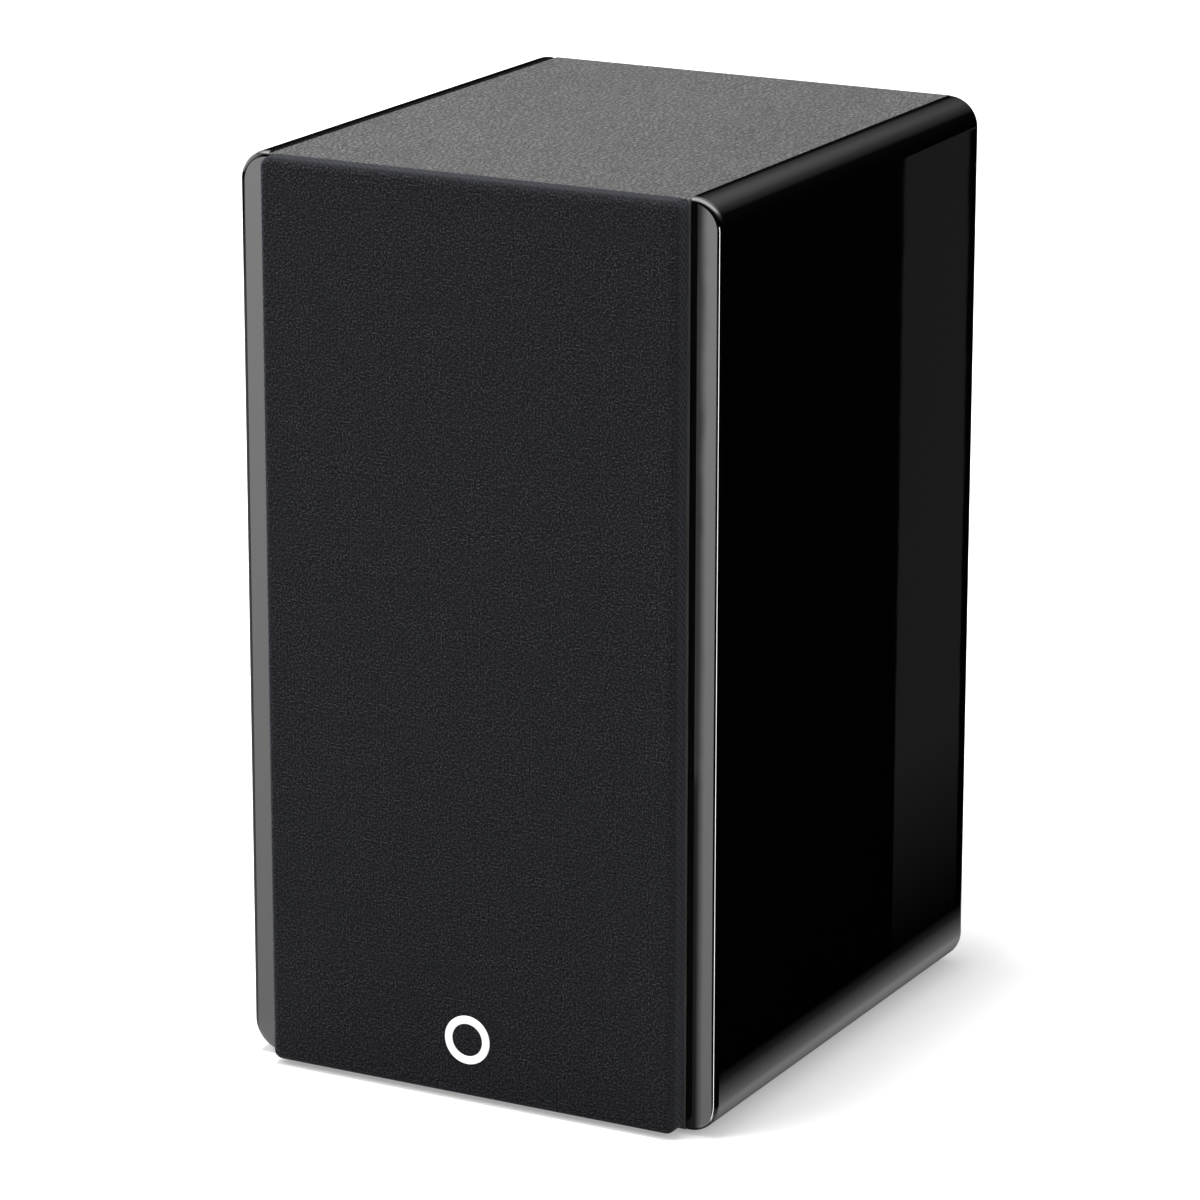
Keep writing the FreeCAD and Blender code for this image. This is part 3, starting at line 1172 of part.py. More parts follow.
# ---- all nodes -----------------------------------------------------------
def nodes():
    """Every piece by name."""
    black_post, red_post = post_points()
    return {
        "side_panel_left": side_panel(-1),
        "side_panel_right": side_panel(1),
        "top_panel": level_panel(PANEL_TOP - PANEL_THICKNESS),
        "bottom_panel": bottom_panel(),
        "front_baffle": front_baffle(),
        "rear_panel": rear_panel(),
        "top_covering": top_covering(),
        "internal_brace": internal_brace(),
        "wadding_left": wadding(-1),
        "wadding_right": wadding(1),
        "rubber_feet": rubber_feet(),
        "grille_frame": grille_frame(),
        "grille_cloth": grille_cloth(),
        "grille_pegs": grille_pegs(),
        "grille_sockets": grille_sockets(),
        "badge": badge(),
        "woofer_basket": woofer_basket(),
        "woofer_trim": woofer_trim(),
        "woofer_surround": woofer_surround(),
        "woofer_cone": woofer_cone(),
        "woofer_dust_cap": woofer_dust_cap(),
        "woofer_coil_former": woofer_coil_former(),
        "woofer_voice_coil": woofer_voice_coil(),
        "woofer_spider": woofer_spider(),
        "woofer_top_plate": woofer_top_plate(),
        "woofer_magnet": woofer_magnet(),
        "woofer_back_plate": woofer_back_plate(),
        "woofer_screws": woofer_screws(),
        "woofer_tab_strip": woofer_tab_strip(),
        "woofer_tabs": woofer_tabs(),
        "tweeter_faceplate": tweeter_faceplate(),
        "tweeter_surround": tweeter_surround(),
        "tweeter_dome": tweeter_dome(),
        "tweeter_voice_coil": tweeter_voice_coil(),
        "tweeter_top_plate": tweeter_top_plate(),
        "tweeter_magnet": tweeter_magnet(),
        "tweeter_back_plate": tweeter_back_plate(),
        "tweeter_chamber": tweeter_chamber(),
        "tweeter_guard": tweeter_guard(),
        "tweeter_screws": tweeter_screws(),
        "tweeter_tab_strip": tweeter_tab_strip(),
        "tweeter_tabs": tweeter_tabs(),
        "port_tube": port_tube(),
        "terminal_cup": terminal_cup(),
        "terminal_gasket": terminal_gasket(),
        "terminal_screws": terminal_screws(),
        "post_studs": post_studs(),
        "post_nuts": post_nuts(),
        "collar_red": post_collar(*red_post),
        "collar_black": post_collar(*black_post),
        "washer_red": post_washer(*red_post),
        "washer_black": post_washer(*black_post),
        "knob_red": post_knob(*red_post),
        "knob_black": post_knob(*black_post),
        "crossover_board": crossover_board(),
        "crossover_parts": Part.makeCompound([crossover_resistors(), crossover_block()]),
        "crossover_inductors": crossover_inductors(),
        "crossover_capacitors": crossover_capacitors(),
        "crossover_fixings": Part.makeCompound([board_spacers(), board_screws()]),
        "wiring": Part.makeCompound([input_leads(), woofer_leads(), tweeter_leads()]),
    }


def main():
    """Write one STEP file for each node."""
    os.makedirs("parts", exist_ok=True)
    for name, shape in nodes().items():
        bounds = shape.BoundBox
        print("%-22s %-5s solids %2d  volume %10.1f  z %.2f to %.2f" % (
            name, shape.isValid(), len(shape.Solids), shape.Volume, bounds.ZMin, bounds.ZMax))
        shape.exportStep("parts/%s.step" % name)


main()
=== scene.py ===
"""Looks of the bookshelf speaker: lacquered cheeks, leathercloth top, cloth grille, drivers, terminals."""

import json
import math

import bpy
from mathutils import Matrix, Vector

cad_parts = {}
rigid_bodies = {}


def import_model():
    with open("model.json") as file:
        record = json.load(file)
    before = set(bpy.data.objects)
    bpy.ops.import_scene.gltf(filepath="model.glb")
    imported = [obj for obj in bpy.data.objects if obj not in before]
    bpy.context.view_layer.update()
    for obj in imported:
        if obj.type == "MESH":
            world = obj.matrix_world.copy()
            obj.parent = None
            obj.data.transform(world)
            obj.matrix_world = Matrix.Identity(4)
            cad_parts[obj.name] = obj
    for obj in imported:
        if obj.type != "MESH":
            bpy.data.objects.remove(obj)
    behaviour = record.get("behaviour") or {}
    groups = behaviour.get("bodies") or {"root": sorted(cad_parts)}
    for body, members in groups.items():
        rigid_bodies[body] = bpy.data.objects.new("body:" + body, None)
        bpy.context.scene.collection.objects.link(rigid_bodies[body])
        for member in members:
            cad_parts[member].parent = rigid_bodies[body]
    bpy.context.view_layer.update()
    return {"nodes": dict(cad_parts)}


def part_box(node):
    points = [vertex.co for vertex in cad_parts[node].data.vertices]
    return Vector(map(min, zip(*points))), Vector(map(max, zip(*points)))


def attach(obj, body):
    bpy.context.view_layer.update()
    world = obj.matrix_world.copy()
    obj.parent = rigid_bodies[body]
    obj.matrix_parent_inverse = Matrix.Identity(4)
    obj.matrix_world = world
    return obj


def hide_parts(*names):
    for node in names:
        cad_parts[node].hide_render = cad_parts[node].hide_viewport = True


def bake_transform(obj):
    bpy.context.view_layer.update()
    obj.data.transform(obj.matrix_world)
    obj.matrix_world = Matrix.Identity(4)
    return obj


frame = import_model()

MM = 0.001
SMOOTH_ANGLE = math.radians(32)


# ---- places read from the frame -------------------------------------------
def low(node):
    return Vector(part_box(node)[0])


def high(node):
    return Vector(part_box(node)[1])


def middle(node):
    return (low(node) + high(node)) / 2


FRONT = low("front_baffle").y
REAR = high("rear_panel").y
TOP = high("side_panel_left").z
BOTTOM = low("side_panel_left").z
HALF_WIDTH = high("side_panel_right").x
WOOFER_Z = middle("woofer_magnet").z
TWEETER_Z = middle("tweeter_magnet").z
PORT_Z = middle("port_tube").z


# ---- making pieces ---------------------------------------------------------
def nothing_selected():
    if bpy.context.object and bpy.context.object.mode != "OBJECT":
        bpy.ops.object.mode_set(mode="OBJECT")
    bpy.ops.object.select_all(action="DESELECT")


def settle(piece):
    """Put the piece's place into its mesh."""
    nothing_selected()
    piece.select_set(True)
    bpy.context.view_layer.objects.active = piece
    bpy.ops.object.transform_apply(location=True, rotation=True, scale=True)


def named(name):
    piece = bpy.context.object
    piece.name = name
    piece.data.name = name
    return piece


def block(name, lo, hi):
    """A box between two corners."""
    nothing_selected()
    lo, hi = Vector(lo), Vector(hi)
    bpy.ops.mesh.primitive_cube_add(size=1, location=(lo + hi) / 2)
    piece = named(name)
    piece.scale = hi - lo
    settle(piece)
    return piece


def edit(piece, kind, test):
    """Go into edit mode with the vertices, edges or faces that pass a test on their places selected."""
    nothing_selected()
    piece.select_set(True)
    bpy.context.view_layer.objects.active = piece
    bpy.ops.object.mode_set(mode="EDIT")
    bpy.ops.mesh.select_mode(type=kind)
    bpy.ops.mesh.select_all(action="DESELECT")
    bpy.ops.object.mode_set(mode="OBJECT")
    mesh = piece.data
    items = {"VERT": mesh.vertices, "EDGE": mesh.edges, "FACE": mesh.polygons}[kind]
    for item in items:
        if kind == "VERT":
            item.select = bool(test(item.co))
        else:
            item.select = bool(test([mesh.vertices[i].co for i in item.vertices]))
    bpy.ops.object.mode_set(mode="EDIT")
    bpy.ops.mesh.select_mode(type=kind)


def done():
    bpy.ops.object.mode_set(mode="OBJECT")


def near(a, b):
    return abs(a - b) < 2e-5


def round_edges(piece, test, radius, segments):
    """Round the edges that pass a test."""
    edit(piece, "EDGE", test)
    bpy.ops.mesh.bevel(offset=radius, segments=segments, affect="EDGES", profile=0.5)
    done()


def modifier(piece, kind, **values):
    """Add a modifier with these values and apply it."""
    nothing_selected()
    piece.select_set(True)
    bpy.context.view_layer.objects.active = piece
    added = piece.modifiers.new(kind.title(), kind)
    for key, value in values.items():
        setattr(added, key, value)
    bpy.ops.object.modifier_apply(modifier=added.name)


def soften(piece, radius, segments=3, angle=40):
    """Round every sharp edge a little."""
    modifier(piece, "BEVEL", width=radius, segments=segments, limit_method="ANGLE",
             angle_limit=math.radians(angle), use_clamp_overlap=True)


def smooth(piece, angle=SMOOTH_ANGLE):
    nothing_selected()
    piece.select_set(True)
    bpy.context.view_layer.objects.active = piece
    bpy.ops.object.shade_smooth_by_angle(angle=angle)


def polish(piece):
    """Smooth shading that leaves the flat faces flat in their reflections."""
    smooth(piece)
    modifier(piece, "WEIGHTED_NORMAL", mode="FACE_AREA", weight=50, keep_sharp=True)


def lathe(name, steps, x, z, sides=128, closed=False, start=0.0, sweep=360.0):
    """A shape turned about the line along Y through (x, z), from steps of (radius, y)."""
    nothing_selected()
    radius, y = steps[0]
    centre = (x, y, z)
    bpy.ops.mesh.primitive_circle_add(vertices=sides, radius=radius, fill_type="NOTHING",
                                      location=centre, rotation=(math.pi / 2, 0, 0))
    piece = named(name)
    settle(piece)
    bpy.ops.object.mode_set(mode="EDIT")
    bpy.ops.mesh.select_mode(type="EDGE")
    bpy.ops.mesh.select_all(action="SELECT")
    for new_radius, new_y in list(steps[1:]) + ([steps[0]] if closed else []):
        bpy.ops.mesh.extrude_edges_move()
        grow = max(new_radius, 1e-6) / radius
        bpy.ops.transform.resize(value=(grow, 1, grow), center_override=(x, y, z))
        bpy.ops.transform.translate(value=(0, new_y - y, 0))
        radius, y = max(new_radius, 1e-6), new_y
    bpy.ops.mesh.select_all(action="SELECT")
    bpy.ops.mesh.remove_doubles(threshold=6e-6)
    bpy.ops.mesh.normals_make_consistent(inside=False)
    bpy.ops.object.mode_set(mode="OBJECT")
    return piece


def arc(centre, radius, first, last, count):
    """Points of (radius, y) on an arc; the angles are in degrees from the outward direction towards +Y."""
    turns = [math.radians(first + (last - first) * i / count) for i in range(count + 1)]
    return [(centre[0] + radius * math.cos(t), centre[1] + radius * math.sin(t)) for t in turns]


def shell(piece, thickness, even=True):
    """Give a single skin its thickness, inwards."""
    modifier(piece, "SOLIDIFY", thickness=thickness, offset=-1.0, use_even_offset=even)


def finish_piece(piece, material, body, *nodes, slot=None):
    """Set a piece's finish and body, and hide the nodes it stands for."""
    piece.data.materials.clear()
    piece.data.materials.append(material)
    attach(piece, body)
    if nodes:
        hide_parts(*nodes)


def repaint(node, material):
    """Give a carried-over node its finish."""
    shape = frame["nodes"][node]
    for part in [shape] + list(shape.children_recursive):
        if part.type == "MESH":
            for one in part.material_slots:
                one.material = material


# ---- shader building -------------------------------------------------------
class Nodes:
    """Short ways to place and join shader nodes."""

    def __init__(self, tree):
        self.tree = tree

    def add(self, kind, inputs=None, **values):
        node = self.tree.nodes.new(kind)
        for key, value in values.items():
            setattr(node, key, value)
        for key, value in (inputs or {}).items():
            socket = node.inputs[key]
            if isinstance(value, bpy.types.NodeSocket):
                self.tree.links.new(value, socket)
            else:
                socket.default_value = value
        return node

    def math(self, operation, *values, clamp=False):
        node = self.tree.nodes.new("ShaderNodeMath")
        node.operation = operation
        node.use_clamp = clamp
        for i, value in enumerate(values):
            if isinstance(value, bpy.types.NodeSocket):
                self.tree.links.new(value, node.inputs[i])
            else:
                node.inputs[i].default_value = value
        return node.outputs[0]

    def mix(self, factor, a, b):
        node = self.add("ShaderNodeMix", data_type="RGBA")
        for key, value in ((0, factor), (6, a), (7, b)):
            if isinstance(value, bpy.types.NodeSocket):
                self.tree.links.new(value, node.inputs[key])
            else:
                node.inputs[key].default_value = value
        return node.outputs[2]

    def ramp(self, value, stops):
        node = self.add("ShaderNodeValToRGB", {"Fac": value})
        points = node.color_ramp.elements
        while len(points) < len(stops):
            points.new(0.5)
        for point, (place, colour) in zip(points, stops):
            point.position = place
            point.color = colour
        return node.outputs[0]


def grey(value, alpha=1.0):
    return (value, value, value, alpha)


def group(name, inputs, outputs):
    """A new shader node group with named sockets; returns the tree, its input sockets and its output node."""
    tree = bpy.data.node_groups.new(name, "ShaderNodeTree")
    for label, kind, value in inputs:
        socket = tree.interface.new_socket(label, in_out="INPUT", socket_type=kind)
        if value is not None:
            socket.default_value = value
    for label, kind in outputs:
        tree.interface.new_socket(label, in_out="OUTPUT", socket_type=kind)
    start = tree.nodes.new("NodeGroupInput")
    end = tree.nodes.new("NodeGroupOutput")
    return tree, Nodes(tree), start.outputs, end


FLOAT = "NodeSocketFloat"
COLOUR = "NodeSocketColor"
VECTOR = "NodeSocketVector"


def grain_group():
    """Fine and coarse mottling: a mask for colour and a height for bumps."""
    tree, n, given, end = group(
        "Surface grain", [("Place", VECTOR, None), ("Fine", FLOAT, 900.0), ("Coarse", FLOAT, 40.0)],
        [("Mask", FLOAT), ("Height", FLOAT)])
    fine = n.add("ShaderNodeTexNoise", {"Vector": given["Place"], "Scale": given["Fine"], "Detail": 3.0})
    coarse = n.add("ShaderNodeTexNoise", {"Vector": given["Place"], "Scale": given["Coarse"], "Detail": 4.0})
    mask = n.math("ADD", n.math("MULTIPLY", fine.outputs["Fac"], 0.35),
                  n.math("MULTIPLY", coarse.outputs["Fac"], 0.65))
    tree.links.new(mask, end.inputs["Mask"])
    tree.links.new(fine.outputs["Fac"], end.inputs["Height"])
    return tree


def dust_group():
    """Sparse specks and a faint film that gathers on faces that look up."""
    tree, n, given, end = group(
        "Settled dust", [("Place", VECTOR, None), ("Amount", FLOAT, 0.3)], [("Mask", FLOAT)])
    specks = n.add("ShaderNodeTexVoronoi", {"Vector": given["Place"], "Scale": 260.0})
    near_speck = n.math("LESS_THAN", specks.outputs["Distance"], 0.06)
    some = n.math("GREATER_THAN", n.add("ShaderNodeTexNoise", {
        "Vector": given["Place"], "Scale": 70.0, "Detail": 2.0}).outputs["Fac"], 0.6)
    film = n.add("ShaderNodeTexNoise", {"Vector": given["Place"], "Scale": 9.0, "Detail": 5.0})
    up = n.add("ShaderNodeSeparateXYZ", {"Vector": n.add("ShaderNodeNewGeometry").outputs["Normal"]})
    facing = n.math("MAXIMUM", up.outputs["Z"], 0.0)
    mask = n.math("ADD", n.math("MULTIPLY", near_speck, some), n.math("MULTIPLY", film.outputs["Fac"], 0.12))
    mask = n.math("MULTIPLY", n.math("MULTIPLY", mask, facing), given["Amount"], clamp=True)
    tree.links.new(mask, end.inputs["Mask"])
    return tree


def hide_group():
    """Leather grain: pebbles with creases between them."""
    tree, n, given, end = group(
        "Leather pebbles", [("Place", VECTOR, None), ("Pebbles", FLOAT, 520.0), ("Wander", FLOAT, 0.5)],
        [("Crease", FLOAT), ("Height", FLOAT), ("Tone", FLOAT)])
    drift = n.add("ShaderNodeTexNoise", {"Vector": given["Place"], "Scale": 160.0, "Detail": 2.0})
    shift = n.add("ShaderNodeVectorMath", {0: drift.outputs["Color"], 1: (0.004, 0.004, 0.004)},
                  operation="MULTIPLY")
    place = n.add("ShaderNodeVectorMath", {0: given["Place"], 1: shift.outputs[0]}, operation="ADD")
    cells = n.add("ShaderNodeTexVoronoi", {"Vector": place.outputs[0], "Scale": given["Pebbles"],
                                           "Randomness": 0.95}, feature="DISTANCE_TO_EDGE")
    crease = n.ramp(cells.outputs["Distance"], [(0.0, grey(0.0)), (0.20, grey(0.50)), (0.48, grey(1.0))])
    small = n.add("ShaderNodeTexVoronoi", {"Vector": place.outputs[0], "Scale": 1500.0,
                                           "Randomness": 1.0}, feature="SMOOTH_F1")
    height = n.math("ADD", n.math("MULTIPLY", crease, 0.8),
                    n.math("MULTIPLY", small.outputs["Distance"], -0.25))
    broad = n.add("ShaderNodeTexNoise", {"Vector": given["Place"], "Scale": 24.0, "Detail": 3.0})
    tree.links.new(crease, end.inputs["Crease"])
    tree.links.new(height, end.inputs["Height"])
    tree.links.new(broad.outputs["Fac"], end.inputs["Tone"])
    return tree


def weave_group():
    """Plain weave in two directions: a thread height and a gap mask."""
    tree, n, given, end = group(
        "Cloth weave", [("Place", VECTOR, None), ("Threads per metre", FLOAT, 1100.0)],
        [("Height", FLOAT), ("Gap", FLOAT), ("Tone", FLOAT)])
    sway = n.add("ShaderNodeTexNoise", {"Vector": given["Place"], "Scale": 300.0, "Detail": 2.0})
    parts = n.add("ShaderNodeSeparateXYZ", {"Vector": given["Place"]})
    turn = n.math("MULTIPLY", given["Threads per metre"], math.pi)
    drift = n.math("MULTIPLY", sway.outputs["Fac"], 1.6)
    along = n.math("ADD", n.math("MULTIPLY", parts.outputs["X"], turn), drift)
    across = n.math("ADD", n.math("MULTIPLY", parts.outputs["Y"], turn), drift)
    warp = n.math("ABSOLUTE", n.math("SINE", along))
    weft = n.math("ABSOLUTE", n.math("SINE", across))
    over = n.math("MULTIPLY", n.math("SINE", n.math("MULTIPLY", along, 0.5)),
                  n.math("SINE", n.math("MULTIPLY", across, 0.5)))
    side = n.math("GREATER_THAN", over, 0.0)
    flip = n.math("SUBTRACT", 1.0, side)
    height = n.math("ADD", n.math("MULTIPLY", warp, side), n.math("MULTIPLY", weft, flip))
    gap = n.math("LESS_THAN", n.math("MAXIMUM", warp, weft), 0.35)
    tone = n.add("ShaderNodeTexNoise", {"Vector": given["Place"], "Scale": 1300.0, "Detail": 2.0})
    tree.links.new(height, end.inputs["Height"])
    tree.links.new(gap, end.inputs["Gap"])
    tree.links.new(tone.outputs["Fac"], end.inputs["Tone"])
    return tree


GRAIN = grain_group()
DUST = dust_group()
HIDE = hide_group()
WEAVE = weave_group()


def new_material(name):
    """A material with its principled shader and object coordinates ready."""
    material = bpy.data.materials.new(name)
    material.use_nodes = True
    tree = material.node_tree
    shader = tree.nodes["Principled BSDF"]
    n = Nodes(tree)
    place = n.add("ShaderNodeTexCoord").outputs["Object"]
    return material, n, shader, place


def use(n, tree, **inputs):
    """Place a node group; underscores in names stand for spaces."""
    node = n.add("ShaderNodeGroup", node_tree=tree)
    for key, value in inputs.items():
        socket = node.inputs[key.replace("_", " ")]
        if isinstance(value, bpy.types.NodeSocket):
            n.tree.links.new(value, socket)
        else:
            socket.default_value = value
    return node.outputs


def bumped(n, shader, height, strength, distance):
    """Feed a height into the shader's normal."""
    bump = n.add("ShaderNodeBump", {"Height": height, "Strength": strength, "Distance": distance})
    n.tree.links.new(bump.outputs[0], shader.inputs["Normal"])


def mottled(name, dark, light, rough, metal=0.0, fine=900.0, coarse=40.0, depth=0.00004,
            strength=0.35, coat=0.0, coat_rough=0.1, spread=0.12, dust=0.0):
    """A finish with mottled colour and roughness and a fine bump."""
    material, n, shader, place = new_material(name)
    grain = use(n, GRAIN, Place=place, Fine=fine, Coarse=coarse)
    colour = n.mix(grain["Mask"], dark, light)
    roughness = n.math("ADD", n.math("MULTIPLY", grain["Mask"], spread), rough - spread / 2)
    if dust:
        veil = use(n, DUST, Place=place, Amount=dust)["Mask"]
        colour = n.mix(veil, colour, grey(0.32))
        roughness = n.mix(veil, roughness, grey(0.8))
    n.tree.links.new(colour, shader.inputs["Base Color"])
    n.tree.links.new(roughness, shader.inputs["Roughness"])
    shader.inputs["Metallic"].default_value = metal
    shader.inputs["Coat Weight"].default_value = coat
    shader.inputs["Coat Roughness"].default_value = coat_rough
    bumped(n, shader, grain["Height"], strength, depth)
    return material


def lacquer():
    """Deep black lacquer with a faint ripple and a little dust."""
    material, n, shader, place = new_material("Black piano lacquer")
    ripple = n.add("ShaderNodeTexNoise", {"Vector": place, "Scale": 60.0, "Detail": 1.0})
    veil = use(n, DUST, Place=place, Amount=0.25)["Mask"]
    smear = n.add("ShaderNodeTexNoise", {"Vector": place, "Scale": 14.0, "Detail": 4.0, "Distortion": 0.6})
    roughness = n.math("ADD", n.math("MULTIPLY", smear.outputs["Fac"], 0.02), 0.008)
    n.tree.links.new(n.mix(veil, (0.0004, 0.0004, 0.0005, 1), grey(0.10)), shader.inputs["Base Color"])
    n.tree.links.new(n.math("ADD", roughness, n.math("MULTIPLY", veil, 0.3)), shader.inputs["Roughness"])
    shader.inputs["IOR"].default_value = 1.5
    bumped(n, shader, ripple.outputs["Fac"], 0.012, 0.0004)
    return material


def leathercloth():
    """Black leathercloth with pebbled grain and dull creases; the pebble tops are painted dark grey as a
    painted sheen, and the creases are painted near black as painted shade.
    """
    material, n, shader, place = new_material("Black leathercloth")
    hide = use(n, HIDE, Place=place, Pebbles=400.0)
    # the pebble tops' colour is lifted to dark grey: partly random tone, partly a painted sheen on black
    # leathercloth
    pebble_tone_and_sheen = n.mix(hide["Tone"], (0.050, 0.050, 0.050, 1), (0.088, 0.088, 0.088, 1))
    # the creases are painted near black: painted shade between the pebbles
    colour = n.mix(hide["Crease"], grey(0.0015), pebble_tone_and_sheen)
    veil = use(n, DUST, Place=place, Amount=0.25)["Mask"]
    n.tree.links.new(n.mix(veil, colour, grey(0.25)), shader.inputs["Base Color"])
    roughness = n.math("SUBTRACT", 0.60, n.math("MULTIPLY", hide["Crease"], 0.18))
    n.tree.links.new(roughness, shader.inputs["Roughness"])
    shader.inputs["Specular IOR Level"].default_value = 0.3
    bumped(n, shader, hide["Height"], 1.0, 0.0008)
    return material


def grille_cloth_finish():
    """Fine black acoustic cloth with a soft sheen; the valleys between threads are painted darker and the
    gaps near black, as painted shade.
    """
    material, n, shader, place = new_material("Black acoustic cloth")
    map_place = n.add("ShaderNodeUVMap", uv_map="Cloth").outputs[0]
    weave = use(n, WEAVE, Place=map_place, Threads_per_metre=1250.0)
    yarn = n.ramp(weave["Tone"], [(0.36, (0.0035, 0.0035, 0.004, 1)), (0.52, (0.010, 0.010, 0.0115, 1)),
                                  (0.66, (0.043, 0.044, 0.053, 1))])
    # colour darkens with thread height towards the valleys, and the gaps are painted near black: painted
    # shade in the weave
    lit = n.mix(weave["Height"], grey(0.003), yarn)
    n.tree.links.new(n.mix(weave["Gap"], lit, grey(0.001)), shader.inputs["Base Color"])
    rough = n.math("ADD", n.math("MULTIPLY", weave["Tone"], 0.15), 0.72)
    n.tree.links.new(rough, shader.inputs["Roughness"])
    shader.inputs["Specular IOR Level"].default_value = 0.04
    shader.inputs["Sheen Weight"].default_value = 0.16
    shader.inputs["Sheen Roughness"].default_value = 0.30
    shader.inputs["Sheen Tint"].default_value = (0.70, 0.76, 0.90, 1)
    bumped(n, shader, weave["Height"], 0.7, 0.00018)
    return material


def wood_fibre(name, pale, dark, rough):
    """Pressed wood fibre with short flecks."""
    material, n, shader, place = new_material(name)
    flecks = n.add("ShaderNodeTexVoronoi", {"Vector": place, "Scale": 700.0, "Randomness": 1.0})
    cloud = n.add("ShaderNodeTexNoise", {"Vector": place, "Scale": 55.0, "Detail": 5.0})
    mask = n.math("ADD", n.math("MULTIPLY", flecks.outputs["Distance"], 0.5),
                  n.math("MULTIPLY", cloud.outputs["Fac"], 0.6))
    n.tree.links.new(n.mix(mask, pale, dark), shader.inputs["Base Color"])
    n.tree.links.new(n.math("ADD", n.math("MULTIPLY", mask, 0.1), rough), shader.inputs["Roughness"])
    bumped(n, shader, flecks.outputs["Distance"], 0.3, 0.0001)
    return material


def black_vinyl():
    """Black vinyl wrap pressed with a fine upright wood grain."""
    material, n, shader, place = new_material("Black grained vinyl")
    stretched = n.add("ShaderNodeMapping", {"Vector": place, "Scale": (1.0, 1.0, 0.045)})
    fibre = n.add("ShaderNodeTexNoise", {"Vector": stretched.outputs[0], "Scale": 900.0, "Detail": 4.0,
                                         "Roughness": 0.65})
    band = n.add("ShaderNodeTexNoise", {"Vector": stretched.outputs[0], "Scale": 95.0, "Detail": 4.0,
                                        "Distortion": 0.5})
    mask = n.math("ADD", n.math("MULTIPLY", fibre.outputs["Fac"], 0.6),
                  n.math("MULTIPLY", band.outputs["Fac"], 0.5))
    pore = n.ramp(mask, [(0.40, grey(0.0)), (0.56, grey(1.0))])
    n.tree.links.new(n.mix(pore, grey(0.006), (0.021, 0.020, 0.020, 1)), shader.inputs["Base Color"])
    n.tree.links.new(n.math("SUBTRACT", 0.62, n.math("MULTIPLY", pore, 0.17)), shader.inputs["Roughness"])
    bumped(n, shader, pore, 0.4, 0.00012)
    return material


def cone_finish():
    """Coated pulp cone with short fibres."""
    material, n, shader, place = new_material("Coated pulp")
    fibre = n.add("ShaderNodeTexNoise", {"Vector": place, "Scale": 420.0, "Detail": 6.0, "Distortion": 2.2})
    cloud = n.add("ShaderNodeTexNoise", {"Vector": place, "Scale": 35.0, "Detail": 3.0})
    lit = n.mix(fibre.outputs["Fac"], (0.016, 0.016, 0.018, 1), (0.060, 0.060, 0.066, 1))
    n.tree.links.new(n.mix(cloud.outputs["Fac"], lit, (0.030, 0.030, 0.034, 1)), shader.inputs["Base Color"])
    n.tree.links.new(n.math("ADD", n.math("MULTIPLY", fibre.outputs["Fac"], 0.2), 0.42),
                     shader.inputs["Roughness"])
    bumped(n, shader, fibre.outputs["Fac"], 0.4, 0.00018)
    return material


def winding(name, centre, axis, dark, light, pitch):
    """Enamelled wire laid in close turns about an axis; the colour is darker in the grooves between turns, a
    painted shade over a random tone.
    """
    material, n, shader, place = new_material(name)
    parts = n.add("ShaderNodeSeparateXYZ", {"Vector": place})
    turns = n.math("SINE", n.math("MULTIPLY", parts.outputs[axis], 2 * math.pi / pitch))
    tone = n.add("ShaderNodeTexNoise", {"Vector": place, "Scale": 160.0, "Detail": 2.0})
    # the colour follows the turns, darker in the grooves between them: painted shade, over a random tone
    mask = n.math("ADD", n.math("MULTIPLY", turns, 0.35), tone.outputs["Fac"], clamp=True)
    n.tree.links.new(n.mix(mask, dark, light), shader.inputs["Base Color"])
    n.tree.links.new(n.math("ADD", n.math("MULTIPLY", mask, -0.1), 0.36), shader.inputs["Roughness"])
    shader.inputs["Metallic"].default_value = 0.9
    bumped(n, shader, turns, 0.5, pitch * 0.4)
    return material


def circuit():
    """Green lacquered board with tracks and pads."""
    material, n, shader, place = new_material("Green circuit board")
    tracks = n.add("ShaderNodeTexBrick", {"Vector": place, "Scale": 55.0, "Color1": (0.010, 0.070, 0.028, 1),
                                          "Color2": (0.014, 0.095, 0.038, 1), "Mortar": (0.03, 0.16, 0.07, 1),
                                          "Mortar Size": 0.03})
    grain = use(n, GRAIN, Place=place, Fine=1400.0, Coarse=80.0)
    stained = n.mix(n.math("MULTIPLY", grain["Mask"], 0.4), tracks.outputs["Color"], (0.01, 0.05, 0.02, 1))
    n.tree.links.new(stained, shader.inputs["Base Color"])
    n.tree.links.new(n.math("ADD", n.math("MULTIPLY", grain["Mask"], 0.2), 0.28), shader.inputs["Roughness"])
    bumped(n, shader, tracks.outputs["Fac"], 0.3, 0.00005)
    return material


def wire_finish():
    """Insulated leads, red on one side and black on the other."""
    material, n, shader, place = new_material("Lead insulation")
    parts = n.add("ShaderNodeSeparateXYZ", {"Vector": place})
    side = n.math("GREATER_THAN", parts.outputs["X"], 0.0)
    grain = use(n, GRAIN, Place=place, Fine=1500.0, Coarse=90.0)
    red = n.mix(grain["Mask"], (0.38, 0.012, 0.010, 1), (0.55, 0.03, 0.02, 1))
    black = n.mix(grain["Mask"], grey(0.012), grey(0.03))
    n.tree.links.new(n.mix(side, black, red), shader.inputs["Base Color"])
    n.tree.links.new(n.math("ADD", n.math("MULTIPLY", grain["Mask"], 0.2), 0.3), shader.inputs["Roughness"])
    bumped(n, shader, grain["Height"], 0.2, 0.00005)
    return material


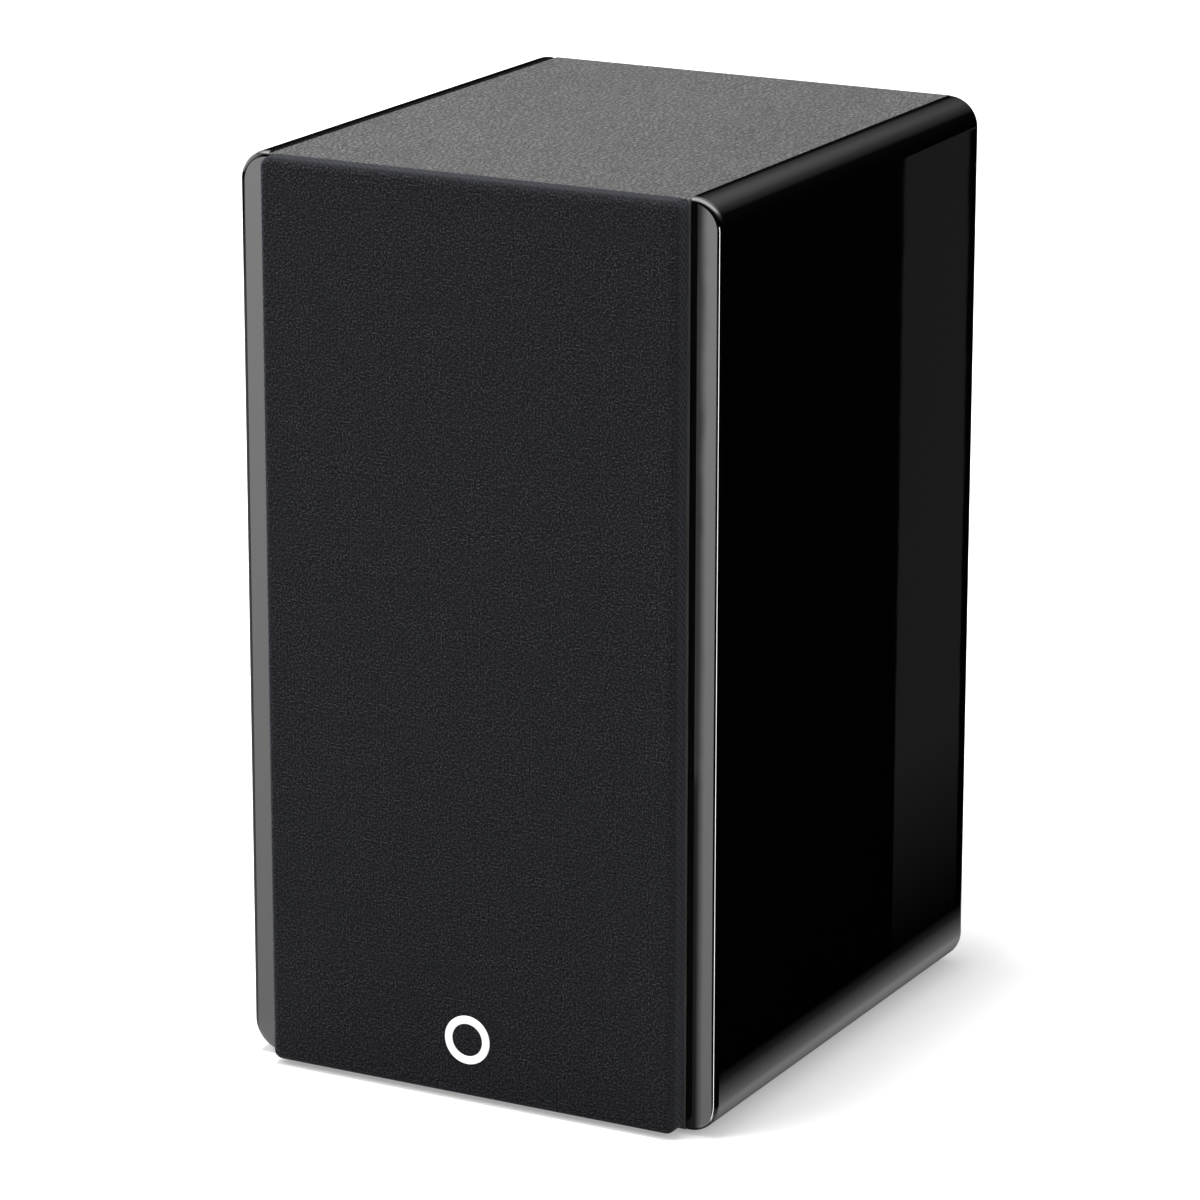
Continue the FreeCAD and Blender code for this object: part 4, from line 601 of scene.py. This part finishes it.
def fibre_finish():
    """Loose pale polyester fibre."""
    material, n, shader, place = new_material("Polyester wadding")
    hair = n.add("ShaderNodeTexNoise", {"Vector": place, "Scale": 380.0, "Detail": 8.0, "Distortion": 3.5})
    tuft = n.add("ShaderNodeTexNoise", {"Vector": place, "Scale": 45.0, "Detail": 4.0, "Distortion": 1.0})
    mask = n.math("MULTIPLY", hair.outputs["Fac"], n.math("ADD", tuft.outputs["Fac"], 0.45), clamp=True)
    n.tree.links.new(n.mix(mask, (0.42, 0.42, 0.40, 1), (0.90, 0.90, 0.88, 1)), shader.inputs["Base Color"])
    n.tree.links.new(n.math("ADD", n.math("MULTIPLY", mask, 0.1), 0.85), shader.inputs["Roughness"])
    shader.inputs["Sheen Weight"].default_value = 0.4
    bumped(n, shader, mask, 0.9, 0.0012)
    return material


LACQUER = lacquer()
LEATHER = leathercloth()
CLOTH = grille_cloth_finish()
VINYL = black_vinyl()
BOARD = wood_fibre("Pressed fibreboard", (0.43, 0.30, 0.18, 1), (0.26, 0.17, 0.10, 1), 0.72)
MOULDED = mottled("Black moulded plastic", grey(0.010), grey(0.022), 0.48, fine=2200.0, coarse=60.0,
                  depth=0.00006, strength=0.5, dust=0.12)
FRAME = mottled("Matt black frame", grey(0.008), grey(0.018), 0.62, fine=1600.0, depth=0.00006, strength=0.5)
BADGE = mottled("Satin white badge", grey(0.80), grey(0.90), 0.30, fine=1200.0, coarse=200.0, strength=0.1,
                depth=0.00002, coat=0.3)
RUBBER = mottled("Black rubber", grey(0.010), grey(0.020), 0.55, fine=1800.0, depth=0.00005, strength=0.4,
                 dust=0.15)
FOAM = mottled("Sealing foam", grey(0.012), grey(0.035), 0.9, fine=1100.0, depth=0.0002, strength=0.8)
CONE = cone_finish()
SILK = mottled("Doped silk", (0.010, 0.010, 0.013, 1), (0.035, 0.035, 0.042, 1), 0.38, fine=2600.0,
               coarse=300.0, depth=0.00008, strength=0.5)
CAST = mottled("Black powder coat", grey(0.012), grey(0.024), 0.42, fine=1500.0, coarse=200.0,
               depth=0.00008, strength=0.5)
SCREW = mottled("Blackened steel", grey(0.015), grey(0.04), 0.35, metal=0.7, fine=1800.0, strength=0.25)
STEEL = mottled("Zinc plated steel", (0.42, 0.43, 0.45, 1), (0.62, 0.62, 0.60, 1), 0.32, metal=1.0,
                fine=700.0, coarse=90.0, strength=0.2)
FERRITE = mottled("Sintered ferrite", grey(0.030), grey(0.065), 0.62, fine=900.0, strength=0.4, depth=0.0001)
GOLD = mottled("Gold plate", (0.70, 0.47, 0.16, 1), (0.86, 0.62, 0.26, 1), 0.20, metal=1.0, fine=1400.0,
               coarse=200.0, strength=0.12, depth=0.00002)
BRASS = mottled("Tinned brass", (0.60, 0.50, 0.30, 1), (0.78, 0.70, 0.50, 1), 0.35, metal=1.0, fine=1100.0)
RED = mottled("Clear red plastic", (0.36, 0.008, 0.008, 1), (0.52, 0.016, 0.014, 1), 0.26, fine=1300.0,
              coat=0.5, strength=0.12, depth=0.00003, dust=0.1)
BLACK = mottled("Polished black plastic", grey(0.008), grey(0.018), 0.24, fine=1300.0, coat=0.5,
                strength=0.12, depth=0.00003, dust=0.1)
FOIL = mottled("Aluminium foil", (0.62, 0.63, 0.65, 1), (0.78, 0.78, 0.80, 1), 0.3, metal=1.0, fine=1500.0)
SPIDER = mottled("Varnished cotton", (0.30, 0.17, 0.045, 1), (0.52, 0.33, 0.11, 1), 0.7, fine=1800.0,
                 coarse=120.0, depth=0.00015, strength=0.7)
STRIP = mottled("Pressed fibre strip", (0.16, 0.075, 0.03, 1), (0.28, 0.14, 0.06, 1), 0.6, fine=900.0)
CAN = mottled("Film capacitor sleeve", (0.030, 0.032, 0.14, 1), (0.055, 0.06, 0.22, 1), 0.3, fine=1200.0,
              coat=0.3, strength=0.15)
CERAMIC = mottled("White ceramic", (0.62, 0.60, 0.54, 1), (0.78, 0.76, 0.70, 1), 0.55, fine=1000.0,
                  depth=0.0001, strength=0.5)
COPPER = winding("Enamelled copper wire", None, "Z", (0.32, 0.11, 0.035, 1), (0.72, 0.33, 0.14, 1), 0.0011)
COIL = winding("Voice coil wire", None, "Y", (0.34, 0.13, 0.045, 1), (0.74, 0.36, 0.16, 1), 0.0004)
CIRCUIT = circuit()
WIRE = wire_finish()
FIBRE = fibre_finish()


def carried_over():
    """Finishes of the nodes that keep their own shape."""
    for material, nodes in (
            (BOARD, ["top_panel", "internal_brace"]),
            (VINYL, ["bottom_panel", "front_baffle", "rear_panel"]),
            (RUBBER, ["rubber_feet"]),
            (FRAME, ["grille_frame", "grille_pegs"]),
            (MOULDED, ["grille_sockets", "terminal_cup", "tweeter_chamber"]),
            (CAST, ["woofer_basket"]),
            (FOIL, ["woofer_coil_former"]),
            (COIL, ["woofer_voice_coil", "tweeter_voice_coil"]),
            (SPIDER, ["woofer_spider"]),
            (STEEL, ["woofer_top_plate", "woofer_back_plate", "tweeter_top_plate", "tweeter_back_plate",
                     "crossover_fixings"]),
            (FERRITE, ["woofer_magnet", "tweeter_magnet"]),
            (SCREW, ["woofer_screws", "tweeter_screws", "terminal_screws", "tweeter_guard"]),
            (STRIP, ["woofer_tab_strip", "tweeter_tab_strip"]),
            (BRASS, ["woofer_tabs", "tweeter_tabs"]),
            (FOAM, ["terminal_gasket"]),
            (GOLD, ["post_studs", "post_nuts", "washer_red", "washer_black"]),
            (RED, ["collar_red", "knob_red"]),
            (BLACK, ["collar_black", "knob_black"]),
            (CIRCUIT, ["crossover_board"]),
            (CERAMIC, ["crossover_parts"]),
            (COPPER, ["crossover_inductors"]),
            (CAN, ["crossover_capacitors"]),
            (WIRE, ["wiring"])):
        for node in nodes:
            repaint(node, material)


# ---- cabinet ---------------------------------------------------------------
CHEEK_ROUNDING = 13.0 * MM
CHEEK_FRONT_RADIUS = 2.5 * MM
CHEEK_REAR_RADIUS = 5.0 * MM


def cheek(name, node, side):
    """A lacquered side cheek with its long outer edges and its ends rounded."""
    piece = block(name, low(node), high(node))
    outer = side * HALF_WIDTH
    inner = low(node).x if side > 0 else high(node).x
    round_edges(piece, lambda p: all(near(v.x, outer) for v in p) and not near(p[0].y, p[1].y),
                CHEEK_ROUNDING, 24)
    for level, radius, segments in ((FRONT, CHEEK_FRONT_RADIUS, 6), (REAR, CHEEK_REAR_RADIUS, 10)):
        round_edges(piece, lambda p: all(near(v.y, level) for v in p)
                    and not all(near(v.x, inner) for v in p), radius, segments)
    polish(piece)
    finish_piece(piece, LACQUER, "cabinet", node, slot="lacquered_side")


COVERING_EDGE = 0.55 * MM


def covering():
    """Leathercloth top, its edges pressed round."""
    lo, hi = low("top_covering"), high("top_covering")
    piece = block("leather_top", lo, hi)
    round_edges(piece, lambda p: all(near(v.z, hi.z) for v in p), COVERING_EDGE, 4)
    polish(piece)
    finish_piece(piece, LEATHER, "cabinet", "top_covering", slot="leathercloth")


# ---- grille ----------------------------------------------------------------
CLOTH_CORNER = 4.0 * MM
CLOTH_EDGE = 3.5 * MM
CLOTH_SKIN = 0.5 * MM
CLOTH_TUCK = 9.0 * MM


def add_cloth_map(piece):
    """Lay the weave along the cloth: across the face and on round each side."""
    mesh = piece.data
    layer = mesh.uv_layers.new(name="Cloth")
    front = low("grille_cloth").y
    for face in mesh.polygons:
        normal = face.normal
        for corner in face.loop_indices:
            p = mesh.vertices[mesh.loops[corner].vertex_index].co
            deep = p.y - front
            u = p.x + (deep if normal.x > 0.7 else -deep if normal.x < -0.7 else 0.0)
            v = p.z + (deep if normal.z > 0.7 else -deep if normal.z < -0.7 else 0.0)
            layer.data[corner].uv = (u, v)


def grille_cloth():
    """Cloth drawn over the frame, down its sides and tucked in behind."""
    lo, hi = low("grille_cloth"), high("grille_cloth")
    piece = block("grille_cover", lo, hi)
    round_edges(piece, lambda p: abs(p[0].y - p[1].y) > 0.001, CLOTH_CORNER, 6)
    edit(piece, "FACE", lambda p: all(near(v.y, hi.y) for v in p))
    bpy.ops.mesh.inset(thickness=CLOTH_TUCK)
    bpy.ops.mesh.delete(type="FACE")
    done()
    round_edges(piece, lambda p: all(near(v.y, lo.y) for v in p), CLOTH_EDGE, 10)
    shell(piece, CLOTH_SKIN, even=False)
    smooth(piece)
    add_cloth_map(piece)
    finish_piece(piece, CLOTH, "grille", "grille_cloth", slot="grille_fabric")


def ring_badge():
    """Plain white ring with rounded edges, on two pins."""
    lo, hi = low("badge"), high("badge")
    centre = (lo + hi) / 2
    outer = (hi.x - lo.x) / 2
    stroke = 3.4 * MM
    face = low("grille_cloth").y
    crown = 0.35 * MM
    steps = [(outer, face), (outer, lo.y + crown), (outer - crown, lo.y + 0.05 * MM),
             (outer - stroke / 2, lo.y), (outer - stroke + crown, lo.y + 0.05 * MM),
             (outer - stroke, lo.y + crown), (outer - stroke, face)]
    piece = lathe("ring_badge", steps, centre.x, centre.z, sides=96, closed=True)
    pins = []
    for side in (-1, 1):
        nothing_selected()
        bpy.ops.mesh.primitive_cylinder_add(
            vertices=20, radius=1.0 * MM, depth=hi.y - face + 0.2 * MM, rotation=(math.pi / 2, 0, 0),
            location=(centre.x + side * (outer - stroke / 2), (hi.y + face - 0.2 * MM) / 2, centre.z))
        pins.append(named("badge_pin"))
        settle(pins[-1])
    nothing_selected()
    for part in pins + [piece]:
        part.select_set(True)
    bpy.context.view_layer.objects.active = piece
    bpy.ops.object.join()
    smooth(piece)
    finish_piece(piece, BADGE, "grille", "badge", slot="badge_white")


# ---- drivers ---------------------------------------------------------------
SECTORS = 16


def depth(steps):
    """Steps given as (radius, depth behind the baffle), in millimetres, made (radius, y) in metres."""
    return [(r * MM, FRONT + d * MM) for r, d in steps]


def cut_to_sector(piece, x, z, index, count):
    """Keep one sector of a turned shape, by taking away the faces outside it."""
    width = 360.0 / count

    def outside(points):
        centre = sum(points, Vector()) / len(points)
        turn = math.degrees(math.atan2(centre.z - z, centre.x - x)) % 360
        return int(turn // width) != index

    edit(piece, "FACE", outside)
    bpy.ops.mesh.delete(type="FACE")
    done()


def rolled_sectors(name, steps, x, z, material, node, thickness, sides, count):
    """A rolled edge cut in sectors, each running between the cone and the fixed rim."""
    whole = lathe(name, steps, x, z, sides=sides)
    shell(whole, thickness)
    smooth(whole, math.radians(60))
    whole.data.materials.clear()
    whole.data.materials.append(material)
    for i in range(count):
        nothing_selected()
        whole.select_set(True)
        bpy.context.view_layer.objects.active = whole
        bpy.ops.object.duplicate()
        part = named("%s_%02d" % (name, i + 1))
        cut_to_sector(part, x, z, i, count)
        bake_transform(part)
        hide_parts(node)
    bpy.data.objects.remove(whole, do_unlink=True)


def woofer():
    """Cone, dust cap, rolled surround and trim ring."""
    steps = depth([(60.0, 2.3), (60.0, 1.5), (57.3, 1.5)] + [
        (57.3 - 41.2 * t, 1.5 + 31.5 * t ** 0.94) for t in (0.04, 0.12, 0.25, 0.4, 0.55, 0.7, 0.85, 1.0)])
    cone = lathe("pulp_cone", steps[1:], 0, WOOFER_Z, sides=160)
    shell(cone, 0.8 * MM)
    smooth(cone)
    finish_piece(cone, CONE, "woofer_moving", "woofer_cone", slot="cone_pulp")
    cap = lathe("dust_cap", depth([(20.0, 29.7), (19.6, 28.6), (18.4, 27.2), (16.2, 25.7), (13.0, 24.4),
                                   (9.0, 23.5), (4.5, 23.05), (0.0, 22.95)]), 0, WOOFER_Z, sides=128)
    shell(cap, 0.7 * MM)
    smooth(cap, math.radians(60))
    finish_piece(cap, CONE, "woofer_moving", "woofer_dust_cap", slot="cone_pulp")
    roll = [(57.0, 0.9), (60.0, 0.9)] + [
        (65.0 - 5.0 * math.cos(math.radians(a)), 0.9 - 5.0 * math.sin(math.radians(a)))
        for a in range(12, 180, 12)] + [(70.0, 0.9), (74.8, 0.9)]
    rolled_sectors("surround", depth(roll), 0, WOOFER_Z, RUBBER,
                   "woofer_surround", 0.55 * MM, 192, SECTORS)
    trim = lathe("trim_ring", depth([(71.0, 0.85), (71.0, -0.4), (71.5, -0.9), (72.2, -1.0), (82.8, -1.0),
                                     (83.6, -0.8), (84.0, -0.2), (84.0, 1.5), (75.3, 1.5), (75.3, 0.88)]),
                 0, WOOFER_Z, sides=192, closed=True)
    smooth(trim)
    finish_piece(trim, MOULDED, "cabinet", "woofer_trim", slot="moulded_black")


SCREW_HEAD = 3.2 * MM
SCREW_RECESS = 1.8 * MM
HEAD_ROOM = 0.3 * MM


def screw_recesses(plate):
    """Sink a recess in the plate for each screw head."""
    reach = high("tweeter_screws").x - SCREW_HEAD
    depth_cut = SCREW_RECESS + 1.0 * MM
    for across in (-reach, reach):
        for up in (-reach, reach):
            nothing_selected()
            bpy.ops.mesh.primitive_cylinder_add(
                vertices=48, radius=SCREW_HEAD + HEAD_ROOM, depth=depth_cut, rotation=(math.pi / 2, 0, 0),
                location=(across, FRONT + SCREW_RECESS - depth_cut / 2, TWEETER_Z + up))
            cutter = named("recess_cutter")
            settle(cutter)
            modifier(plate, "BOOLEAN", operation="DIFFERENCE", object=cutter, solver="EXACT")
            bpy.data.objects.remove(cutter, do_unlink=True)


def tweeter():
    """Faceplate with a waveguide, dome and its small roll."""
    plate = lathe("tweeter_plate", depth(
        [(52.0, 4.0), (52.0, 0.5), (51.8, 0.15), (51.3, 0.0), (37.5, 0.0), (36.0, 0.1), (33.5, 0.45),
         (27.0, 1.25), (20.0, 2.05), (17.2, 2.4), (16.6, 2.7), (16.6, 3.35), (19.2, 3.35), (19.2, 4.0)]),
        0, TWEETER_Z, sides=160, closed=True)
    screw_recesses(plate)
    smooth(plate)
    finish_piece(plate, MOULDED, "cabinet", "tweeter_faceplate", slot="tweeter_plate")
    ball = (13.0 ** 2 + 4.6 ** 2) / (2 * 4.6)
    dome_steps = [(13.0 * math.cos(math.radians(a)), 3.95 - 4.6 + ball - math.sqrt(
        ball ** 2 - (13.0 * math.cos(math.radians(a))) ** 2)) for a in range(0, 91, 9)]
    dome = lathe("silk_dome", depth(dome_steps), 0, TWEETER_Z, sides=96)
    shell(dome, 0.45 * MM)
    smooth(dome, math.radians(60))
    finish_piece(dome, SILK, "tweeter_moving", "tweeter_dome", slot="dome_silk")
    roll = [(13.05, 3.4), (13.3, 3.4)] + [
        (14.85 - 1.55 * math.cos(math.radians(a)), 3.4 - 1.55 * math.sin(math.radians(a)))
        for a in range(20, 180, 20)] + [(16.4, 3.4), (18.9, 3.4)]
    rolled_sectors("dome_roll", depth(roll), 0, TWEETER_Z, SILK,
                   "tweeter_surround", 0.5 * MM, 96, 8)


# ---- port ------------------------------------------------------------------
def port():
    """Flared port moulding."""
    mouth = high("port_tube").y
    end = low("port_tube").y
    throat, flare, wall = 24.0 * MM, 16.0 * MM, 2.5 * MM
    steps = [(throat, end + 12 * MM), (throat, mouth - flare)]
    steps += arc((throat + flare, mouth - flare), flare, 171, 90, 9)
    steps += [(45.0 * MM, mouth), (45.7 * MM, mouth - 0.3 * MM), (46.0 * MM, mouth - 1.0 * MM),
              (46.0 * MM, REAR), (35.5 * MM, REAR), (30.5 * MM, REAR - 4 * MM), (27.5 * MM, REAR - 9 * MM),
              (throat + wall, mouth - flare), (throat + wall, end + 13 * MM), (31.0 * MM, end + 1.5 * MM),
              (31.2 * MM, end + 0.6 * MM), (30.4 * MM, end), (29.4 * MM, end), (27.0 * MM, end + 4 * MM),
              (25.0 * MM, end + 8.5 * MM)]
    piece = lathe("reflex_port", steps, 0, PORT_Z, sides=144, closed=True)
    smooth(piece)
    finish_piece(piece, MOULDED, "cabinet", "port_tube", slot="moulded_black")


# ---- wadding ---------------------------------------------------------------
def wadding(name, node):
    """A soft fibre pad with crowned faces and uneven edges."""
    lo, hi = low(node), high(node)
    piece = block(name, lo + Vector((2, 2, 2)) * MM, hi - Vector((2, 2, 2)) * MM)
    modifier(piece, "BEVEL", width=9 * MM, segments=3)
    edit(piece, "FACE", lambda p: True)
    bpy.ops.mesh.subdivide(number_cuts=5)
    done()
    modifier(piece, "SUBSURF", levels=1, render_levels=1)
    lumps = bpy.data.textures.new("Fibre lumps", "CLOUDS")
    lumps.noise_scale = 0.03
    modifier(piece, "DISPLACE", texture=lumps, strength=3.0 * MM, mid_level=0.65, texture_coords="LOCAL")
    smooth(piece, math.radians(80))
    finish_piece(piece, FIBRE, "cabinet", node, slot="wadding")


# ---- camera, stage and light -----------------------------------------------
CAMERA_TURN = 0.48758
CAMERA_LIFT = 0.27948
CAMERA_ROLL = 0.00129
CAMERA_DISTANCE = 2.32032
CAMERA_LENS = 163.52
AIM_RIGHT = -7.797 * MM
AIM_UP = -11.488 * MM


def camera():
    """A long lens from the front, turned to the right and a little above; gives its place."""
    back = Vector((math.sin(CAMERA_TURN) * math.cos(CAMERA_LIFT),
                   -math.cos(CAMERA_TURN) * math.cos(CAMERA_LIFT), math.sin(CAMERA_LIFT)))
    right = Vector((math.cos(CAMERA_TURN), math.sin(CAMERA_TURN), 0))
    up = back.cross(right)
    side = right * math.cos(CAMERA_ROLL) + up * math.sin(CAMERA_ROLL)
    head = up * math.cos(CAMERA_ROLL) - right * math.sin(CAMERA_ROLL)
    aim = Vector((0, (FRONT + REAR) / 2, TOP / 2)) + side * AIM_RIGHT + head * AIM_UP
    place = aim + back * CAMERA_DISTANCE
    data = bpy.data.cameras.new("Camera")
    data.lens = CAMERA_LENS
    data.sensor_width = 36
    data.clip_start = 0.05
    data.clip_end = 60
    view = bpy.data.objects.new("Camera", data)
    bpy.context.scene.collection.objects.link(view)
    view.matrix_world = Matrix.Translation(place) @ Matrix((side, head, back)).transposed().to_4x4()
    bpy.context.scene.camera = view
    return place


FLOOR_SIZE = 14.0
FLOOR_WHITE = 0.80
FLOOR_GLOW = 0.295
AMBIENT = 0.55
OVERHEAD_GLOSS = 10.0
EDGE_CARD = 48.0
DIM_PANEL = 0.076
LEFT_CARD = 0.3
LEFT_FLOOR = 0.8
KEY_POWER = 22.0
FILL_POWER = 3.0
RIGHT_POWER = 6.0
TOP_POWER = 56.0


def window(n, value, first, last, soft):
    """1 between two values and 0 outside them, with soft ends."""
    up = n.add("ShaderNodeMapRange", {"Value": value, "From Min": first - soft, "From Max": first + soft})
    down = n.add("ShaderNodeMapRange", {"Value": value, "From Min": last + soft, "From Max": last - soft})
    return n.math("MULTIPLY", up.outputs[0], down.outputs[0])


def white_floor(n, spot):
    """White floor to the eye, with a glow that grows away from the part."""
    away = n.add("ShaderNodeVectorMath", {0: spot}, operation="LENGTH").outputs["Value"]
    sweep = n.add("ShaderNodeMapRange", {"Value": away, "From Min": 0.3, "From Max": 0.9,
                                         "To Min": FLOOR_GLOW, "To Max": 1.0})
    glow = n.add("ShaderNodeEmission", {"Color": grey(1.0), "Strength": sweep.outputs[0]})
    white = n.add("ShaderNodeBsdfDiffuse", {"Color": grey(FLOOR_WHITE)})
    return n.add("ShaderNodeAddShader", {0: white.outputs[0], 1: glow.outputs[0]}).outputs[0]


def floor_cards(n, spot, eye):
    """What gloss sees on the floor: glowing cards, laid out as the eye sees them reflected, which paint the
    reflections and highlights on the lacquer; elsewhere gloss sees the floor dark.
    """
    parts = n.add("ShaderNodeSeparateXYZ", {"Vector": spot})
    x, y = parts.outputs["X"], parts.outputs["Y"]
    ahead = n.math("SUBTRACT", FRONT, y)
    beside = n.math("SUBTRACT", n.math("ABSOLUTE", x), HALF_WIDTH)
    right_side = n.math("GREATER_THAN", x, 0.0)

    # where on the front plane, and where on the right side, this spot of floor is seen reflected
    to_front = FRONT - eye.y
    in_front = n.math("DIVIDE", to_front, n.math("ADD", to_front, n.math("MAXIMUM", ahead, 0.0)))
    on_front = n.math("ADD", eye.x, n.math("MULTIPLY", n.math("SUBTRACT", x, eye.x), in_front))
    to_side = eye.x - HALF_WIDTH
    in_side = n.math("DIVIDE", to_side, n.math("ADD", to_side, n.math("MAXIMUM", beside, 0.0)))
    on_side = n.math("ADD", eye.y, n.math("MULTIPLY", n.math("SUBTRACT", y, eye.y), in_side))

    # a glowing strip card for the front of each cheek, brighter further out, and a dim card round to the
    # left: painted reflections in the cheek fronts and the left cheek
    reach = n.math("POWER", n.math("MULTIPLY", n.math("MAXIMUM", ahead, 0.0), 0.595), 0.66)
    bright = n.math("ADD", n.math("MULTIPLY", reach, 2.0), 2.9)
    # the right strip is dimmed next to the grille's side: a painted dark band in the cheek's reflection
    painted_dark_band = n.add("ShaderNodeMapRange", {"Value": on_front, "From Min": 0.1002, "From Max": 0.1036,
                                        "To Min": 0.09, "To Max": 1.0})
    right_strip = n.math("MULTIPLY", window(n, on_front, 0.0965, 0.118, 0.003), painted_dark_band.outputs[0])
    left_strip = window(n, on_front, -0.120, -0.085, 0.004)
    strips = n.math("MULTIPLY", n.math("MAXIMUM", right_strip, left_strip),
                    window(n, ahead, 0.0, 2.0, 0.002))
    round_left = n.math("MULTIPLY", window(n, x, -1.6, -HALF_WIDTH, 0.01), window(n, y, -1.6, 1.6, 0.1))
    card = n.math("MAXIMUM", n.math("MULTIPLY", strips, bright), n.math("MULTIPLY", round_left, LEFT_FLOOR))

    # narrow bright card off the front right corner: a painted highlight along the right cheek's front edge
    turn = n.math("ARCTAN2", n.math("SUBTRACT", y, FRONT), n.math("SUBTRACT", x, HALF_WIDTH))
    corner = n.math("MULTIPLY", window(n, turn, math.radians(-72), math.radians(-65), math.radians(0.8)),
                    n.math("MULTIPLY", n.math("GREATER_THAN", ahead, 0.0), EDGE_CARD))

    # glowing floor close by, and a dim glowing panel well behind on the right: painted reflections, the glow
    # along the bottom of the side and the faint upright band in it
    close = n.ramp(n.math("MULTIPLY", n.math("ADD", beside, 0.010), 20.0),
                   [(0.0, grey(0.0)), (0.12, grey(0.24)), (0.34, grey(0.95)), (0.50, grey(0.90)),
                    (0.64, grey(0.36)), (0.75, grey(0.08)), (0.86, grey(0.0))])
    close = n.math("MULTIPLY", close, window(n, y, FRONT - 0.01, REAR + 0.09, 0.03))
    near_end = n.add("ShaderNodeMapRange", {"Value": beside, "From Min": 0.03, "From Max": 0.15,
                                            "To Min": 0.0, "To Max": DIM_PANEL})
    panel = n.math("MULTIPLY", window(n, on_side, 0.049, REAR - 0.0105, 0.0006),
                   n.math("MULTIPLY", near_end.outputs[0], right_side))

    strength = n.math("ADD", n.math("ADD", card, corner), n.math("ADD", close, panel))
    return n.add("ShaderNodeEmission", {"Color": grey(1.0), "Strength": strength}).outputs[0]


def stage_floor(eye):
    """White floor to the eye; to gloss, the glowing cards that paint reflections and highlights on the
    lacquer.
    """
    nothing_selected()
    bpy.ops.mesh.primitive_plane_add(size=FLOOR_SIZE, location=(0, 0, 0))
    floor = named("studio_floor")
    material = bpy.data.materials.new("Studio floor")
    material.use_nodes = True
    material.node_tree.nodes.clear()
    n = Nodes(material.node_tree)
    spot = n.add("ShaderNodeTexCoord").outputs["Object"]
    path = n.add("ShaderNodeLightPath")
    mix = n.add("ShaderNodeMixShader", {0: path.outputs["Is Glossy Ray"], 1: white_floor(n, spot),
                                        2: floor_cards(n, spot, eye)})
    n.add("ShaderNodeOutputMaterial", {"Surface": mix.outputs[0]})
    floor.data.materials.append(material)


def studio_world():
    """White backdrop to the camera and a pale wrap of light; gloss sees it dark below and bright above."""
    world = bpy.data.worlds.new("Studio")
    bpy.context.scene.world = world
    world.use_nodes = True
    tree = world.node_tree
    tree.nodes.clear()
    n = Nodes(tree)
    parts = n.add("ShaderNodeSeparateXYZ", {"Vector": n.add("ShaderNodeTexCoord").outputs["Generated"]})
    lift = n.ramp(parts.outputs["Z"], [(0.0, grey(0.0)), (0.28, grey(0.0)), (0.42, grey(0.022)),
                                       (0.53, grey(0.07)), (0.62, grey(0.20)), (1.0, grey(0.20))])
    left = n.add("ShaderNodeMapRange", {"Value": parts.outputs["X"], "From Min": -0.60, "From Max": -0.72})
    ahead = n.add("ShaderNodeMapRange", {"Value": parts.outputs["Y"], "From Min": 0.30, "From Max": 0.0})
    bright = n.add("ShaderNodeMapRange", {"Value": parts.outputs["Z"], "From Min": 0.62, "From Max": 0.75,
                                          "To Min": 0.0, "To Max": 0.8})
    lift = n.math("ADD", lift, n.math("MULTIPLY", bright.outputs[0], ahead.outputs[0]))
    low_down = n.add("ShaderNodeMapRange", {"Value": parts.outputs["Z"], "From Min": 0.65, "From Max": 0.45})
    left_card = n.math("MULTIPLY", n.math("MULTIPLY", left.outputs[0], low_down.outputs[0]), LEFT_CARD)
    overhead = n.add("ShaderNodeVectorMath", {0: n.math("MAXIMUM", lift, left_card), "Scale": OVERHEAD_GLOSS},
                     operation="SCALE")
    path = n.add("ShaderNodeLightPath")
    soft = n.mix(path.outputs["Is Glossy Ray"], grey(AMBIENT), overhead.outputs[0])
    colour = n.mix(path.outputs["Is Camera Ray"], soft, grey(1.2))
    sky = n.add("ShaderNodeBackground", {"Color": colour, "Strength": 1.0})
    n.add("ShaderNodeOutputWorld", {"Surface": sky.outputs[0]})


def soft_light(name, place, target, size, power):
    """A square soft light that doesn't show in gloss."""
    nothing_selected()
    bpy.ops.object.light_add(type="AREA", location=place)
    lamp = bpy.context.object
    lamp.name = name
    lamp.data.shape = "SQUARE"
    lamp.data.size = size
    lamp.data.energy = power
    lamp.visible_glossy = False
    lamp.rotation_euler = (Vector(target) - Vector(place)).to_track_quat("-Z", "Y").to_euler()


def lights():
    aim = (0, 0, 0.2)
    soft_light("Key softbox", (-1.1, -1.3, 1.9), aim, 1.3, KEY_POWER)
    soft_light("Top softbox", (-0.17, -0.15, 2.0), (-0.17, -0.15, 0), 0.56, TOP_POWER)
    soft_light("Front fill", (0.5, -2.2, 0.9), aim, 1.4, FILL_POWER)
    soft_light("Right fill", (1.9, -0.7, 1.0), aim, 1.0, RIGHT_POWER)


# ---- everything ------------------------------------------------------------
bpy.context.scene.view_settings.view_transform = "Standard"
lights()
stage_floor(camera())
studio_world()
carried_over()
cheek("cheek_left", "side_panel_left", -1)
cheek("cheek_right", "side_panel_right", 1)
covering()
grille_cloth()
ring_badge()
woofer()
tweeter()
port()
wadding("wadding_pad_left", "wadding_left")
wadding("wadding_pad_right", "wadding_right")
